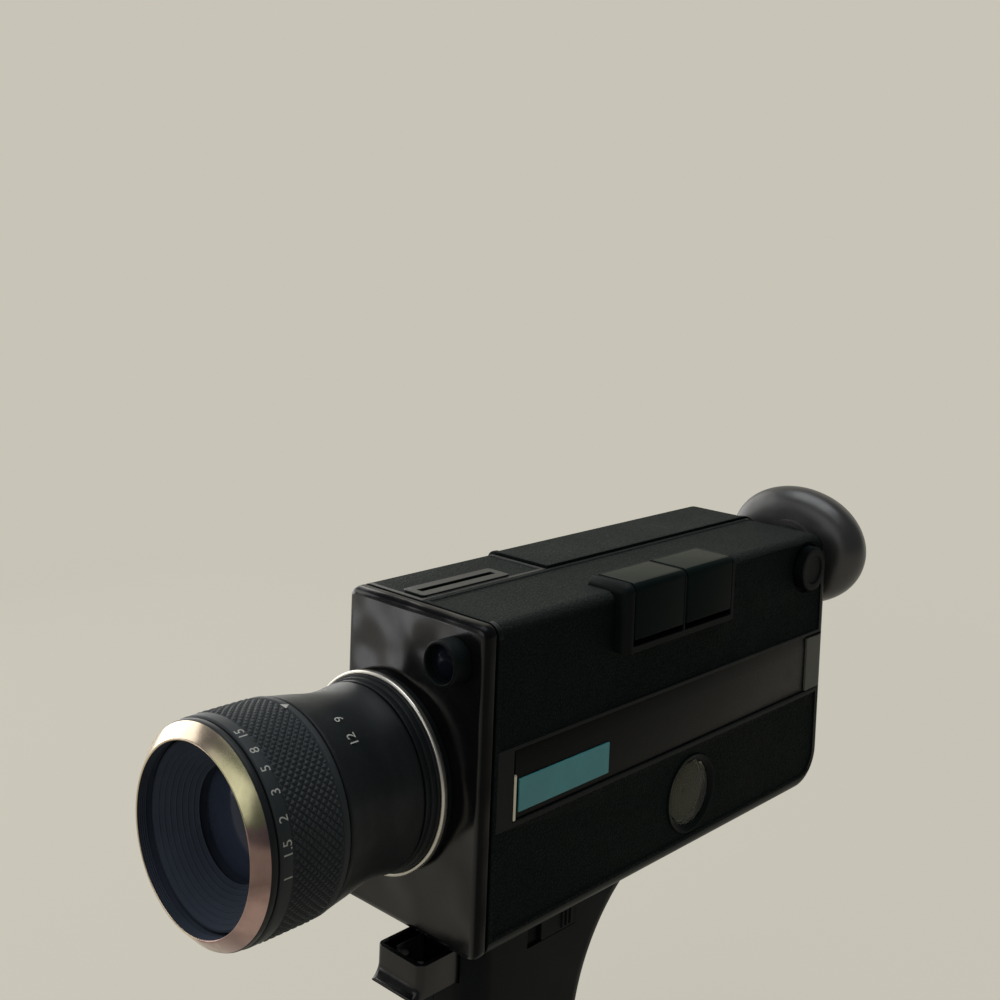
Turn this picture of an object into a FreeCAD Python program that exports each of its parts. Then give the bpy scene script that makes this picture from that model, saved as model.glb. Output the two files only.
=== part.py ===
import FreeCAD, Part
import math
import os
import Sketcher
from types import SimpleNamespace

# Super 8 movie camera with a pistol grip, in millimetres.
# Places are measured from the camera's own lines: x from the middle of the body towards the
# operator's left, y from the face of the front plate towards the operator, z from the underside of
# the body. The whole camera is set so that the tripod bush in the grip's foot is the origin.

DIMENSIONS = {
    # body
    "body_width": 54, "body_tall": 90, "body_long": 175, "wall": 2, "seam": -2.5,
    "top_round": 10, "heel_round": 13, "shoulder": 4, "plate_round": 3, "plate_thick": 4, "reveal": 1,
    "front_end": 57.2, "door_start": 57.9, "door_proud": 0.8, "panel_deep": 0.4, "border": 5,
    "bead": 1.6, "slot_x": -8.7, "slot_wide": 2, "slot_start": 10.2, "slot_long": 29.8,
    # strip, badge, counter window and dioptre knob on the left side
    "strip_low": 34.8, "strip_high": 54.5, "strip_start": 12.8, "strip_deep": 1.2,
    "badge_start": 15.2, "badge_long": 38.7, "badge_low": 36.9, "badge_tall": 9.1,
    "end_start": 163, "end_long": 10, "counter_y": 96.7, "counter_z": 18.2,
    "counter_radius": 12.3, "glass_radius": 10.2, "knob_y": 160, "knob_z": 79, "knob_radius": 7.6,
    # zoom buttons
    "pod_start": 54.4, "cap_start": 58, "pod_low": 72.2, "pod_top": 92.2, "pod_side": 4,
    "cap_long": 23.8, "press": 1.8,
    # lens, with distances along its axis counted from the front plate
    "lens_x": -10.1, "lens_z": 41.7, "barrel": 28.5, "neck": 25.2, "lens_long": 63.5,
    "ring_front": 57.8, "ring_back": 36.2, "trim_radius": 27.9, "core": 16, "core_bore": 13.2,
    "throat": 21.3, "filter_radius": 23.8, "core_back": 16,
    # electric eye, finder and eyecup
    "eye_x": 16, "eye_z": 79.2, "eye_radius": 6.2, "eye_long": 6, "finder_x": 9.5, "finder_z": 79,
    "finder_radius": 5, "piece_radius": 9, "cup_wide": 27.5, "cup_tall": 21.6, "cup_back": 192,
    "cup_shift": -2, "cup_lift": 0.7, "prism_y": 24, "prism_box": 16,
    # grip and trigger
    "grip_x": 6.5, "grip_wide": 29, "grip_tall": 90, "grip_front": 6, "grip_back": 54.5,
    "web_radius": 45.8, "web_z": -44, "grip_round": 8,
    "trigger_wide": 17.5, "trigger_front": -8, "trigger_top": -2.2, "trigger_low": -11.6,
    "lip_reach": 1.9, "lip_curve": 4.5,
    "cell_radius": 7.1, "cell_long": 50, "cell_low": -76, "cell_pitch": 14.4, "cell_first": 15.9,
    # running gear
    "gate_front": 58, "gate_thick": 2, "shaft_x": 4.5, "shaft_z": 46.7, "shutter_radius": 18.8,
    "shaft_radius": 1.5, "motor_x": 13, "motor_z": 22, "motor_radius": 10.5, "idler_x": 9.5,
    "idler_z": 34.5, "idler_radius": 8.3, "spindle_y": 104, "spindle_z": 31.7, "zoom_motor_x": 6.5,
    "zoom_motor_z": 52, "chassis_thick": 1.6,
    # tripod bush and fits
    "bush_y": 30, "bush_bore": 2.55, "bush_radius": 6, "bush_long": 11, "play": 0.3, "fit": 0.06,
}


class Size:
    """A length that knows its value now and the sheet expression that gives it."""

    def __init__(self, value, text):
        self.value = value
        self.text = text

    def __add__(self, other):
        other = sized(other)
        return Size(self.value + other.value, "(%s + %s)" % (self.text, other.text))

    def __sub__(self, other):
        other = sized(other)
        return Size(self.value - other.value, "(%s - %s)" % (self.text, other.text))

    def __mul__(self, other):
        other = sized(other)
        return Size(self.value * other.value, "%s * %s" % (self.text, other.text))

    def __truediv__(self, other):
        other = sized(other)
        return Size(self.value / other.value, "%s / %s" % (self.text, other.text))

    def __neg__(self):
        return Size(-self.value, "(0 - %s)" % self.text)

    __radd__ = __add__
    __rmul__ = __mul__

    def __rsub__(self, other):
        return sized(other) - self


def sized(number):
    """Turns a plain number into a Size, and leaves a Size as it is."""
    if isinstance(number, Size):
        return number
    return Size(float(number), "(%s)" % repr(float(number)))


doc = FreeCAD.newDocument("movie_camera")
sheet = doc.addObject("Spreadsheet::Sheet", "Sizes")
for row, (alias, value) in enumerate(DIMENSIONS.items(), start=1):
    sheet.set("A%d" % row, alias)
    sheet.set("B%d" % row, str(value))
    sheet.setAlias("B%d" % row, alias)
doc.recompute()
D = SimpleNamespace(**{alias: Size(float(value), "Sizes." + alias) for alias, value in DIMENSIONS.items()})

# The camera's own lines, seen from the tripod bush.
SHIFT = (-D.grip_x, -D.bush_y, D.grip_tall)
LEFT = D.body_width / 2
RIGHT = -D.body_width / 2
CASE_FRONT = D.plate_thick + D.reveal
INNER_LEFT = LEFT - D.wall
INNER_RIGHT = RIGHT + D.wall
# Zoom button housing: its side nearer the middle, its outer side, and the gap round each button
POD_INNER = 15.9
POD_OUT = LEFT + D.pod_side
CAP_GAP = 0.35
# Front glass
FRONT_GLASS_RADIUS = D.throat - 5.9
# Screws as places (y, z) on the right side of the body and of the grip
CASE_SCREWS = ((12, 10), (12, 80), (50, 45))
GRIP_SCREWS = ((22, -16), (58, -8), (22, -84), (44, -84))
SCREW_RADIUS = 2.3
# Film door: its hinge line, the heights of the two lugs that carry it, and its catch
HINGE_X = RIGHT + 0.2
HINGE_Y = D.door_start + 1.1
LUGS = ((14, 20), (70, 76))
PIN_RADIUS = 0.5
LATCH_Y = 158
# Battery door in the grip: its heights and its two upright edges
DOOR_LOW, DOOR_HIGH = -78, -24
DOOR_FRONT, DOOR_BACK = 14.5, 46
SWITCH_Y = 19
# Middle of the claw's slot, counted from the lens axis towards the operator's left
CLAW_SIDE = 4.3
# Drive train: start and length of its gears, depth of their teeth and the numbers of teeth
GEAR_START, GEAR_LONG, TOOTH_DEEP = 46, 5, 0.6
SHUTTER_TEETH, IDLER_TEETH, MOTOR_TEETH, TAKEUP_TEETH = 14, 25, 13, 40
ZOOM_PINION_TEETH, ZOOM_RING_TEETH = 12, 90
# Behind the prism box, the filter slide and the meter's vane stand in slots of the rear lens tube
TUBE_START = D.core_back + D.prism_box
FILTER_Y = TUBE_START + 2.9
VANE_Y = TUBE_START + 10.1
AXES = {"x": FreeCAD.Vector(1, 0, 0), "y": FreeCAD.Vector(0, 1, 0), "z": FreeCAD.Vector(0, 0, 1)}
TURNS = {
    "x": FreeCAD.Rotation(FreeCAD.Vector(0, 1, 0), 90),
    "y": FreeCAD.Rotation(FreeCAD.Vector(1, 0, 0), -90),
    "z": FreeCAD.Rotation(),
}
nodes = {}


# Building blocks

def bind(thing, **sizes):
    """Binds each named property of a document object to its Size."""
    for name, length in sizes.items():
        thing.setExpression(name, sized(length).text)
    return thing


def place(thing, x, y, z):
    """Sets an object's corner or centre, given from the camera's own lines."""
    for axis, shift, length in zip("xyz", SHIFT, (x, y, z)):
        thing.setExpression("Placement.Base." + axis, (shift + length).text)
    return thing


def block(name, x1, x2, y1, y2, z1, z2):
    """A box between two limits along each axis."""
    thing = doc.addObject("Part::Box", name)
    bind(thing, Length=sized(x2) - x1, Width=sized(y2) - y1, Height=sized(z2) - z1)
    return place(thing, sized(x1), sized(y1), sized(z1))


def rod(name, axis, x, y, z, radius, length):
    """A round bar from a point along an axis."""
    thing = doc.addObject("Part::Cylinder", name)
    thing.Placement = FreeCAD.Placement(FreeCAD.Vector(), TURNS[axis])
    bind(thing, Radius=radius, Height=length)
    return place(thing, sized(x), sized(y), sized(z))


def ball(name, x, y, z, radius):
    thing = doc.addObject("Part::Sphere", name)
    bind(thing, Radius=radius)
    return place(thing, sized(x), sized(y), sized(z))


def join(name, *pieces):
    thing = doc.addObject("Part::MultiFuse", name)
    thing.Shapes = list(pieces)
    thing.Refine = True
    return thing


def shared(name, *pieces):
    thing = doc.addObject("Part::MultiCommon", name)
    thing.Shapes = list(pieces)
    return thing


def cut(name, base, *tools):
    """Takes every tool away from the base."""
    thing = doc.addObject("Part::Cut", name)
    thing.Base = base
    thing.Tool = tools[0] if len(tools) == 1 else join(name + "_tools", *tools)
    return thing


def group(name, pieces):
    """Several separate solids kept as one node."""
    thing = doc.addObject("Part::Compound", name)
    thing.Links = list(pieces)
    return thing


def edge_numbers(shape, wanted):
    """Numbers of the edges for which wanted(middle, direction) is true."""
    found = []
    for number, edge in enumerate(shape.Edges, start=1):
        middle = edge.valueAt((edge.FirstParameter + edge.LastParameter) / 2)
        direction = edge.tangentAt((edge.FirstParameter + edge.LastParameter) / 2)
        local = middle - FreeCAD.Vector(*[shift.value for shift in SHIFT])
        if wanted(local, direction):
            found.append(number)
    return found


def rounded(name, base, *rules, kind="Part::Fillet"):
    """Rounds the edges that each (radius, wanted) rule picks."""
    doc.recompute()
    thing = doc.addObject(kind, name)
    thing.Base = base
    edges = []
    for radius, wanted in rules:
        radius = sized(radius).value
        edges += [(number, radius, radius) for number in edge_numbers(base.Shape, wanted)]
    thing.Edges = edges
    return thing


def near(value, target, slack=0.02):
    return abs(value - sized(target).value) < slack


def along(direction, axis):
    return abs(direction.dot(AXES[axis])) > 0.999


def outline(body, name, plane, points, offset=None):
    """A closed outline of straight lines on one of the body's origin planes, every corner bound."""
    sketch = body.newObject("Sketcher::SketchObject", name)
    origin = [item for item in body.Origin.OriginFeatures if item.Role == plane][0]
    sketch.AttachmentSupport = [(origin, "")]
    sketch.MapMode = "FlatFace"
    points = [(sized(first), sized(second)) for first, second in points]
    for start, end in zip(points, points[1:] + points[:1]):
        line = Part.LineSegment(FreeCAD.Vector(start[0].value, start[1].value, 0),
                                FreeCAD.Vector(end[0].value, end[1].value, 0))
        sketch.addGeometry(line, False)
    for number in range(len(points)):
        sketch.addConstraint(Sketcher.Constraint("Coincident", number, 2, (number + 1) % len(points), 1))
    for number, corner in enumerate(points):
        for kind, letter, length in (("DistanceX", "across", corner[0]), ("DistanceY", "up", corner[1])):
            index = sketch.addConstraint(Sketcher.Constraint(kind, -1, 1, number, 1, length.value))
            label = "%s_%d" % (letter, number)
            sketch.renameConstraint(index, label)
            sketch.setExpression("Constraints." + label, length.text)
    if offset is not None:
        sketch.setExpression("AttachmentOffset.Base.z", sized(offset).text)
    return sketch


def turned(name, points, x=D.lens_x, z=D.lens_z):
    """A piece turned about a line along y. Corners are (radius, distance behind the front plate)."""
    body = doc.addObject("PartDesign::Body", name)
    place(body, x, sized(0), z)
    sketch = outline(body, name + "_outline", "XY_Plane", points)
    feature = body.newObject("PartDesign::Revolution", name + "_turned")
    feature.Profile = sketch
    feature.ReferenceAxis = (sketch, ["V_Axis"])
    feature.Angle = 360
    return body


def end_pad(name, points, y1, y2):
    """A flat outline in the front view, given as (x, z), made as thick as from y1 to y2."""
    body = doc.addObject("PartDesign::Body", name)
    place(body, sized(0), sized(0), sized(0))
    sketch = outline(body, name + "_outline", "XZ_Plane", points, offset=-sized(y1))
    feature = body.newObject("PartDesign::Pad", name + "_pad")
    feature.Profile = sketch
    feature.Reversed = True
    bind(feature, Length=sized(y2) - y1)
    return body


def lens_glass(name, y_front, y_back, radius, bulge_radius):
    """A convex glass: two balls and a round bar have this much in common."""
    front, back = sized(y_front), sized(y_back)
    return shared(name, rod(name + "_edge", "y", D.lens_x, front, D.lens_z, radius, back - front),
                  ball(name + "_front", D.lens_x, front + bulge_radius, D.lens_z, bulge_radius),
                  ball(name + "_rear", D.lens_x, back - bulge_radius, D.lens_z, bulge_radius))


def toothed(name, axis, x, y, z, radius, length, teeth, depth):
    """A gear blank of a full radius with straight notches cut between its teeth."""
    radius, depth, length = sized(radius), sized(depth), sized(length)
    blank = rod(name + "_blank", axis, x, y, z, radius, length)
    doc.recompute()
    width = radius.value * 3.1416 / teeth
    notch = Part.makeBox(depth.value * 2, width, length.value * 2,
                         FreeCAD.Vector(radius.value - depth.value, -width / 2, -length.value / 2))
    notches = [notch.rotated(FreeCAD.Vector(), AXES["z"], 360.0 * count / teeth) for count in range(teeth)]
    comb = doc.addObject("Part::Feature", name + "_notches")
    comb.Shape = Part.makeCompound(notches)
    comb.Placement = blank.Placement
    return cut(name, blank, comb)


def keep(name, thing):
    """Makes a document object the node of that name."""
    thing.Label = name
    nodes[name] = thing
    return thing


# Body casings

def casing_form(name, x1, x2, y1, y2, z1, z2, top, heel, soft, outer_side):
    """A long block with the body's side outline, its outer long edges softened."""
    form = block(name + "_block", x1, x2, y1, y2, z1, z2)
    corners = rounded(
        name + "_corners", form,
        (top, lambda p, d: along(d, "x") and near(p.y, y2) and near(p.z, z2)),
        (heel, lambda p, d: along(d, "x") and near(p.y, y2) and near(p.z, z1)))
    return rounded(name, corners,
                   (soft, lambda p, d: near(p.x, outer_side) and not near(p.y, y1)))


def pod_form(name, grow):
    """The raised block of the zoom button housing."""
    return block(name, POD_INNER - grow, POD_OUT + grow, D.pod_start - grow, pod_end() + grow,
                 D.pod_low - grow, D.pod_top + grow)


def left_casing():
    far = D.body_long - D.wall
    outer = casing_form("left_outer", D.seam, LEFT, CASE_FRONT, D.body_long, 0, D.body_tall,
                        D.top_round, D.heel_round, D.shoulder, LEFT)
    inner = casing_form("left_inner", D.seam - 1, INNER_LEFT, CASE_FRONT - 1, far, D.wall,
                        D.body_tall - D.wall, D.top_round - D.wall, D.heel_round - D.wall,
                        D.shoulder - D.wall, INNER_LEFT)
    deep = D.panel_deep
    start = CASE_FRONT + D.bead
    end = D.body_long - D.border
    lowered = casing_form("left_lowered", D.seam - 1, LEFT - deep, CASE_FRONT - 1, D.body_long - deep, deep,
                          D.body_tall - deep, D.top_round - deep, D.heel_round - deep, D.shoulder - deep,
                          LEFT - deep)
    upper_panel = cut("left_upper_panel",
                      block("upper_panel_block", D.seam + D.bead, LEFT + 1, start, end, D.strip_high + 1.2,
                            D.body_tall + 1),
                      lowered)
    lower_panel = rounded("left_lower_panel",
                          block("lower_panel_block", LEFT - deep, LEFT + 1, start, end, D.border,
                                D.strip_low - 1.4),
                          (D.heel_round - D.border,
                           lambda p, d: along(d, "x") and near(p.y, end) and near(p.z, D.border)))
    return cut(
        "left_casing", outer, inner, upper_panel, lower_panel,
        block("strip_seat", LEFT - D.strip_deep, LEFT + 1, D.strip_start, D.end_start + D.end_long,
              D.strip_low, D.strip_high),
        rod("counter_seat", "x", INNER_LEFT - 1, D.counter_y, D.counter_z, D.counter_radius, 4),
        rod("knob_seat", "x", INNER_LEFT + 0.8, D.knob_y, D.knob_z, D.knob_radius + 0.9, 4),
        rod("knob_shaft_hole", "x", INNER_LEFT - 1, D.knob_y, D.knob_z, 1.6 + D.fit, 4),
        rod("eyepiece_hole", "y", D.finder_x, far - 20, D.finder_z, D.piece_radius + 0.15, 40),
        pod_form("pod_seat", 0))


def right_front_casing():
    """The right half ahead of the film door, with the slot for a movie light's key."""
    outer = rounded("right_front_outer",
                    block("right_front_block", RIGHT, D.seam, CASE_FRONT, D.front_end, 0, D.body_tall),
                    (D.plate_round, lambda p, d: along(d, "y") and near(p.x, RIGHT)))
    inner = block("right_front_inner", INNER_RIGHT, D.seam + 1, CASE_FRONT - 1, D.front_end + 1,
                  D.wall, D.body_tall - D.wall)
    start, end = CASE_FRONT + D.bead, D.front_end - D.bead
    panel = block("right_front_panel", RIGHT - 1, D.seam - D.bead, start, end,
                  D.body_tall - D.panel_deep, D.body_tall + 1)
    side = block("right_front_side_panel", RIGHT - 1, RIGHT + D.panel_deep, start, end, D.border,
                 D.body_tall - D.border)
    shell = cut("right_front_shell", outer, inner, panel, side)
    slot_side = D.slot_x - D.slot_wide / 2
    slot = block("key_slot", slot_side, slot_side + D.slot_wide, D.slot_start, D.slot_start + D.slot_long,
                 D.body_tall - 5, D.body_tall + 5)
    rim_wide, rim_long = 3.4, 2.8
    rim = rounded("slot_rim",
                  block("slot_rim_block", slot_side - rim_wide, D.seam - D.bead,
                        D.slot_start - rim_long, D.slot_start + D.slot_long + rim_long,
                        D.body_tall - D.wall + 0.4, D.body_tall + 0.5),
                  (1.5, lambda p, d: along(d, "z")))
    return cut("right_front_casing", join("right_front_solid", shell, rim), slot,
               *[screw_hole("case_screw_hole_%d" % number, RIGHT, y, z)
                 for number, (y, z) in enumerate(CASE_SCREWS)])


def screw_hole(name, x, y, z):
    return rod(name, "x", x - 1, y, z, SCREW_RADIUS + 0.1, 2.2)


def casing_screws():
    """Slotted heads sunk in the right side of the body and of the grip."""
    places = [(RIGHT, y, z) for y, z in CASE_SCREWS]
    places += [(D.grip_x - D.grip_wide / 2, y, z) for y, z in GRIP_SCREWS]
    screws = []
    for number, (x, y, z) in enumerate(places):
        head = rod("screw_head_%d" % number, "x", x + 0.3, y, z, SCREW_RADIUS, 0.9)
        slot = block("screw_slot_%d" % number, x, x + 0.65, sized(y) - 3, sized(y) + 3,
                     sized(z) - 0.35, sized(z) + 0.35)
        screws.append(cut("screw_%d" % number, head, slot))
    return group("casing_screws", screws)


def film_door():
    far = D.body_long
    seam = D.seam - D.play
    out = RIGHT - D.door_proud
    top = D.body_tall + D.door_proud
    outer = casing_form("door_outer", out, seam, D.door_start, far, 0, top, D.top_round, D.heel_round,
                        D.plate_round, out)
    inner = casing_form("door_inner", out + D.wall, seam + 1, D.door_start - 1, far - D.wall, D.wall,
                        top - D.wall - 0.6, D.top_round - D.wall, D.heel_round - D.wall, 1, out + D.wall)
    notches = [block("door_notch_%d" % low, out - 1, out + 5, D.door_start - 1, HINGE_Y + 2.4,
                     low - D.play, high + D.play) for low, high in LUGS]
    holes = [rod("door_pin_hole_%d" % low, "z", HINGE_X, HINGE_Y, sized(low) - 5, PIN_RADIUS + D.fit, 16)
             for low, high in LUGS]
    deep = D.panel_deep
    lowered = casing_form("door_lowered", out + deep, seam + 1, D.door_start - 1, far - deep, deep,
                          top - deep, D.top_round - deep, D.heel_round - deep, D.plate_round - deep,
                          out + deep)
    top_panel = cut("door_top_panel",
                    block("door_panel_block", out - 1, seam - D.bead, D.door_start + D.bead,
                          far - D.border, D.body_tall - D.border, top + 1),
                    lowered)
    return cut(
        "film_door", outer, inner, *notches, *holes, top_panel,
        block("door_side_panel", out - 1, out + deep, D.door_start + D.border, LATCH_Y - D.border,
              D.border, D.body_tall - D.border),
        block("latch_slot", out - 1, out + 3, LATCH_Y - 0.3, LATCH_Y + 6, 43.7, 50.3))


def hinge_pins():
    return group("hinge_pins", [rod("pin_%d" % low, "z", HINGE_X, HINGE_Y, sized(low) - 4, PIN_RADIUS,
                                    high - low + 8) for low, high in LUGS])


def door_latch():
    """Sliding catch: a thumb piece outside, a stem through the door and a hook inside."""
    out = RIGHT - D.door_proud
    thumb = rounded("latch_thumb", block("latch_thumb_block", out - 1.6, out, LATCH_Y - 1.5, LATCH_Y + 9,
                                         42, 52),
                    (0.7, lambda p, d: near(p.x, out - 1.6)))
    stem = block("latch_stem", out, out + 2.8, LATCH_Y, LATCH_Y + 2.6, 44, 50)
    hook = block("latch_hook", out + 2, out + 3.2, LATCH_Y - 2, LATCH_Y + 6.2, 43, 51)
    return join("door_latch", thumb, stem, hook)


def front_plate():
    """Glossy plate with a rim behind it that locates the two casing halves."""
    soft = D.plate_round
    slab = rounded("plate_slab_corners", block("plate_slab", RIGHT, LEFT, 0, D.plate_thick, 0, D.body_tall),
                   (soft, lambda p, d: along(d, "y")))
    face = rounded("plate_face", slab, (soft - 0.8, lambda p, d: near(p.y, 0)))
    gap = D.play / 2
    rim = rounded("plate_rim_corners",
                  block("plate_rim_block", INNER_RIGHT + gap, INNER_LEFT - gap, D.plate_thick, 8,
                        D.wall + gap, D.body_tall - D.wall - gap), (2.2, lambda p, d: along(d, "y")))
    hollow = block("plate_rim_hollow", INNER_RIGHT + 2, INNER_LEFT - 2, D.plate_thick, 9, D.wall + 2,
                   D.body_tall - D.wall - 2)
    return cut("front_plate", join("plate_form", face, cut("plate_rim", rim, hollow)),
               rod("plate_lens_hole", "y", D.lens_x, -1, D.lens_z, D.core + 0.1, 12),
               rod("plate_eye_hole", "y", D.eye_x, -1, D.eye_z, D.eye_radius - 1.6, 9),
               rod("plate_pinion_hole", "y", D.zoom_motor_x, -1, D.zoom_motor_z, 1.4, 9))


# Left side fittings

def name_strip():
    """Glossy strip in its seat."""
    seat = LEFT - D.strip_deep
    return block("strip_plate", seat, seat + 0.6, D.strip_start + 1.1, D.end_start - 0.4,
                 D.strip_low + 0.3, D.strip_high - 0.3)


def strip_end_bar():
    seat = LEFT - D.strip_deep
    return rounded("strip_bar", block("strip_bar_block", seat, LEFT + 0.3, D.strip_start, D.strip_start + 1,
                                      D.strip_low + 0.3, D.strip_low + 13),
                   (0.3, lambda p, d: near(p.x, LEFT + 0.3)))


def badge_plate():
    seat = LEFT - D.strip_deep + 0.6
    return block("badge", seat, seat + 0.5, D.badge_start, D.badge_start + D.badge_long, D.badge_low,
                 D.badge_low + D.badge_tall)


def strip_end_plate():
    """Light end piece of the strip, which follows the rounded rear edge of the casing."""
    sunk = 0.1
    form = casing_form("end_plate_form", D.seam, LEFT - sunk, CASE_FRONT, D.body_long - sunk, sunk,
                       D.body_tall - sunk, D.top_round - sunk, D.heel_round - sunk, D.shoulder - sunk,
                       LEFT - sunk)
    slab = block("end_plate_block", LEFT - D.strip_deep, LEFT + 1, D.end_start,
                 D.end_start + D.end_long - 0.2, D.strip_low + 0.3, D.strip_high - 1)
    return shared("end_plate", slab, form)


def counter_bezel():
    """Dark ring that falls inwards like a dish to the window."""
    plug = rod("bezel_plug", "x", INNER_LEFT, D.counter_y, D.counter_z, D.counter_radius - 0.05, D.wall)
    dish = doc.addObject("Part::Cone", "bezel_dish")
    dish.Placement = FreeCAD.Placement(FreeCAD.Vector(), TURNS["x"])
    bind(dish, Radius1=D.glass_radius, Radius2=D.counter_radius - 0.3, Height=1.0)
    place(dish, LEFT - 0.9, D.counter_y, D.counter_z)
    way = rod("bezel_way", "x", INNER_LEFT - 1, D.counter_y, D.counter_z, D.glass_radius, 4)
    return cut("counter_bezel", plug, dish, way)


def counter_window():
    """Clear cup: a flat pane with a short sleeve behind it."""
    cup = rod("window_cup", "x", INNER_LEFT - 1.6, D.counter_y, D.counter_z, D.glass_radius, 2.7)
    hollow = rod("window_hollow", "x", INNER_LEFT - 2, D.counter_y, D.counter_z, D.glass_radius - 0.8, 2.3)
    return cut("counter_window", cup, hollow)


def counter_dial():
    disc = rod("dial_disc", "x", INNER_LEFT - 3, D.counter_y, D.counter_z, D.glass_radius + 0.8, 1)
    hub = rod("dial_hub", "x", INNER_LEFT - 5.5, D.counter_y, D.counter_z, 2, 3)
    return cut("counter_dial", join("dial_form", disc, hub),
               rod("dial_bore", "x", INNER_LEFT - 6, D.counter_y, D.counter_z, 0.8 + D.fit, 7))


def diopter_knob():
    wheel = toothed("diopter_wheel", "x", INNER_LEFT + 1.1, D.knob_y, D.knob_z, D.knob_radius, 3.6, 36, 0.35)
    shaft = rod("diopter_shaft", "x", D.finder_x + D.piece_radius + 0.3, D.knob_y, D.knob_z, 1.6,
                INNER_LEFT + 1.5 - D.finder_x - D.piece_radius - 0.3)
    return join("diopter_knob", wheel, shaft)


# Zoom buttons

def cap_starts():
    """Where the two buttons start; the rib of the housing stands between them."""
    return (D.cap_start, D.cap_start + D.cap_long + 1.5)


def pod_end():
    """Rear end of the housing, 1.8 behind the second button."""
    return cap_starts()[1] + D.cap_long + 1.8


def zoom_button_housing():
    """A tray open at its top and side, with a rib between the two buttons."""
    front = rounded("pod_front", pod_form("pod_form", 0),
                    (2.6, lambda p, d: along(d, "y") and near(p.x, POD_OUT) and near(p.z, D.pod_top)))
    form = rounded("pod_softened", front,
                   (2.9, lambda p, d: near(p.y, D.pod_start) and near(p.z, D.pod_top)
                    or near(p.y, D.pod_start, 0.8) and not along(d, "x")
                    and (p.x > LEFT.value or p.z > D.body_tall.value)))
    wells = []
    for number, start in enumerate(cap_starts()):
        y1, y2 = start - CAP_GAP, start + D.cap_long + CAP_GAP
        wells.append(block("cap_well_%d" % number, POD_INNER + 1, POD_OUT + 1, y1, y2, D.pod_low + 1.8,
                           D.pod_top + 1))
    hole = block("switch_way", 17.8, 26.2, D.cap_start + 10.2, D.cap_start + 38.7, D.pod_low - 1,
                 D.pod_top - 6)
    return cut("zoom_button_housing", form, *wells, hole)


def zoom_button(name, start):
    """An angle-shaped cap: a flat top and a side that wraps the body's long edge."""
    out = POD_OUT + 0.2
    top = D.pod_top + 0.2
    low = D.pod_low + 1.8 + D.press
    form = end_pad(name + "_form", [(POD_INNER + 1.3, top), (out, top), (out, low), (out - 3, low),
                                    (out - 3, top - 2.2), (POD_INNER + 1.3, top - 2.2)],
                   start, start + D.cap_long)
    return rounded(name, form, (2.6, lambda p, d: along(d, "y") and near(p.x, out) and near(p.z, top)))


# Lens

def trim_ring():
    return turned("trim_form", [(D.trim_radius - 1, -2.6), (D.trim_radius, -2.6), (D.trim_radius, -4),
                                (D.trim_radius - 0.4, -4.4), (D.trim_radius - 1, -4.4)])


def lens_barrel():
    """Fixed tube: the stepped foot on the front plate, the zoom bore and the focus slide in front."""
    tube = turned("barrel_tube", [
        (6.5, D.core_back), (9, D.core_back), (9, 3.9), (D.core, 3.9), (D.core, -1.5),
        (D.trim_radius - 3.7, -1.5), (D.trim_radius - 3.7, -8.4), (D.trim_radius - 2, -8.4),
        (D.trim_radius - 2, -6.7), (D.trim_radius - 1.5, -6.7), (D.trim_radius - 1.5, -5),
        (D.trim_radius - 1, -5), (D.trim_radius - 1, 0), (D.core + 1.5, 0), (D.core + 1.5, -0.8),
        (D.core, -0.8), (D.core, -36.6), (D.throat, -36.6), (D.throat, -53.2), (D.throat - 1.7, -53.2),
        (D.throat - 1.7, -40), (D.core_bore, -40), (D.core_bore, -1.5), (6.5, -1.5)])
    return cut("lens_barrel", tube,
               rod("barrel_pinion_way", "y", D.zoom_motor_x, -9, D.zoom_motor_z, 1.4, 12))


def zoom_ring():
    """Waisted ring: a web inside rides on the barrel, and the rear land has inward teeth."""
    ring = turned("zoom_ring_form", [
        (D.trim_radius - 4.7, -8.8), (D.trim_radius - 1.8, -8.8), (D.neck + 0.5, -11), (D.neck + 0.1, -14),
        (D.neck, -18), (D.neck + 0.5, -22.5), (D.neck + 1.6, -28), (D.neck + 2.3, -32.5),
        (D.neck + 2.8, -35.8), (D.neck - 0.4, -35.8), (D.neck - 1.4, -31), (D.core + D.fit, -31),
        (D.core + D.fit, -26), (D.trim_radius - 4.7, -25)])
    doc.recompute()
    teeth = ZOOM_RING_TEETH
    radius = D.trim_radius.value - 4.7
    notch = Part.makeBox(1.2, 0.7, 6, FreeCAD.Vector(radius - 0.6, -0.35, 0))
    comb = doc.addObject("Part::Feature", "zoom_ring_notches")
    comb.Shape = Part.makeCompound([notch.rotated(FreeCAD.Vector(), AXES["z"], 360.0 * count / teeth)
                                    for count in range(teeth)])
    comb.Placement = FreeCAD.Placement(FreeCAD.Vector(), TURNS["y"])
    place(comb, D.lens_x, sized(-14.8), D.lens_z)
    return cut("zoom_ring", ring, comb)


def focus_ring():
    skirt = D.filter_radius + 0.4
    return turned("focus_ring_form", [
        (skirt, -D.ring_front), (D.barrel - 0.6, -D.ring_front), (D.barrel, -D.ring_front + 0.6),
        (D.barrel, -D.ring_back - 0.5), (D.barrel - 0.5, -D.ring_back), (D.throat + 1.4, -D.ring_back),
        (D.throat + D.fit, -38), (D.throat + D.fit, -49), (skirt, -50)])


def front_bezel():
    """Bright cone at the very front, with the filter thread inside it."""
    return turned("bezel_form", [
        (D.filter_radius, -D.lens_long), (D.filter_radius + 0.5, -D.lens_long), (D.barrel - 0.7, -60.2),
        (D.barrel - 0.4, -59.6), (D.barrel - 0.4, -58.3), (D.barrel - 1.2, -58.3),
        (D.barrel - 1.2, -D.ring_front), (D.filter_radius + 0.4, -D.ring_front),
        (D.filter_radius + 0.4, -60.5), (D.filter_radius, -60.5)])


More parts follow.
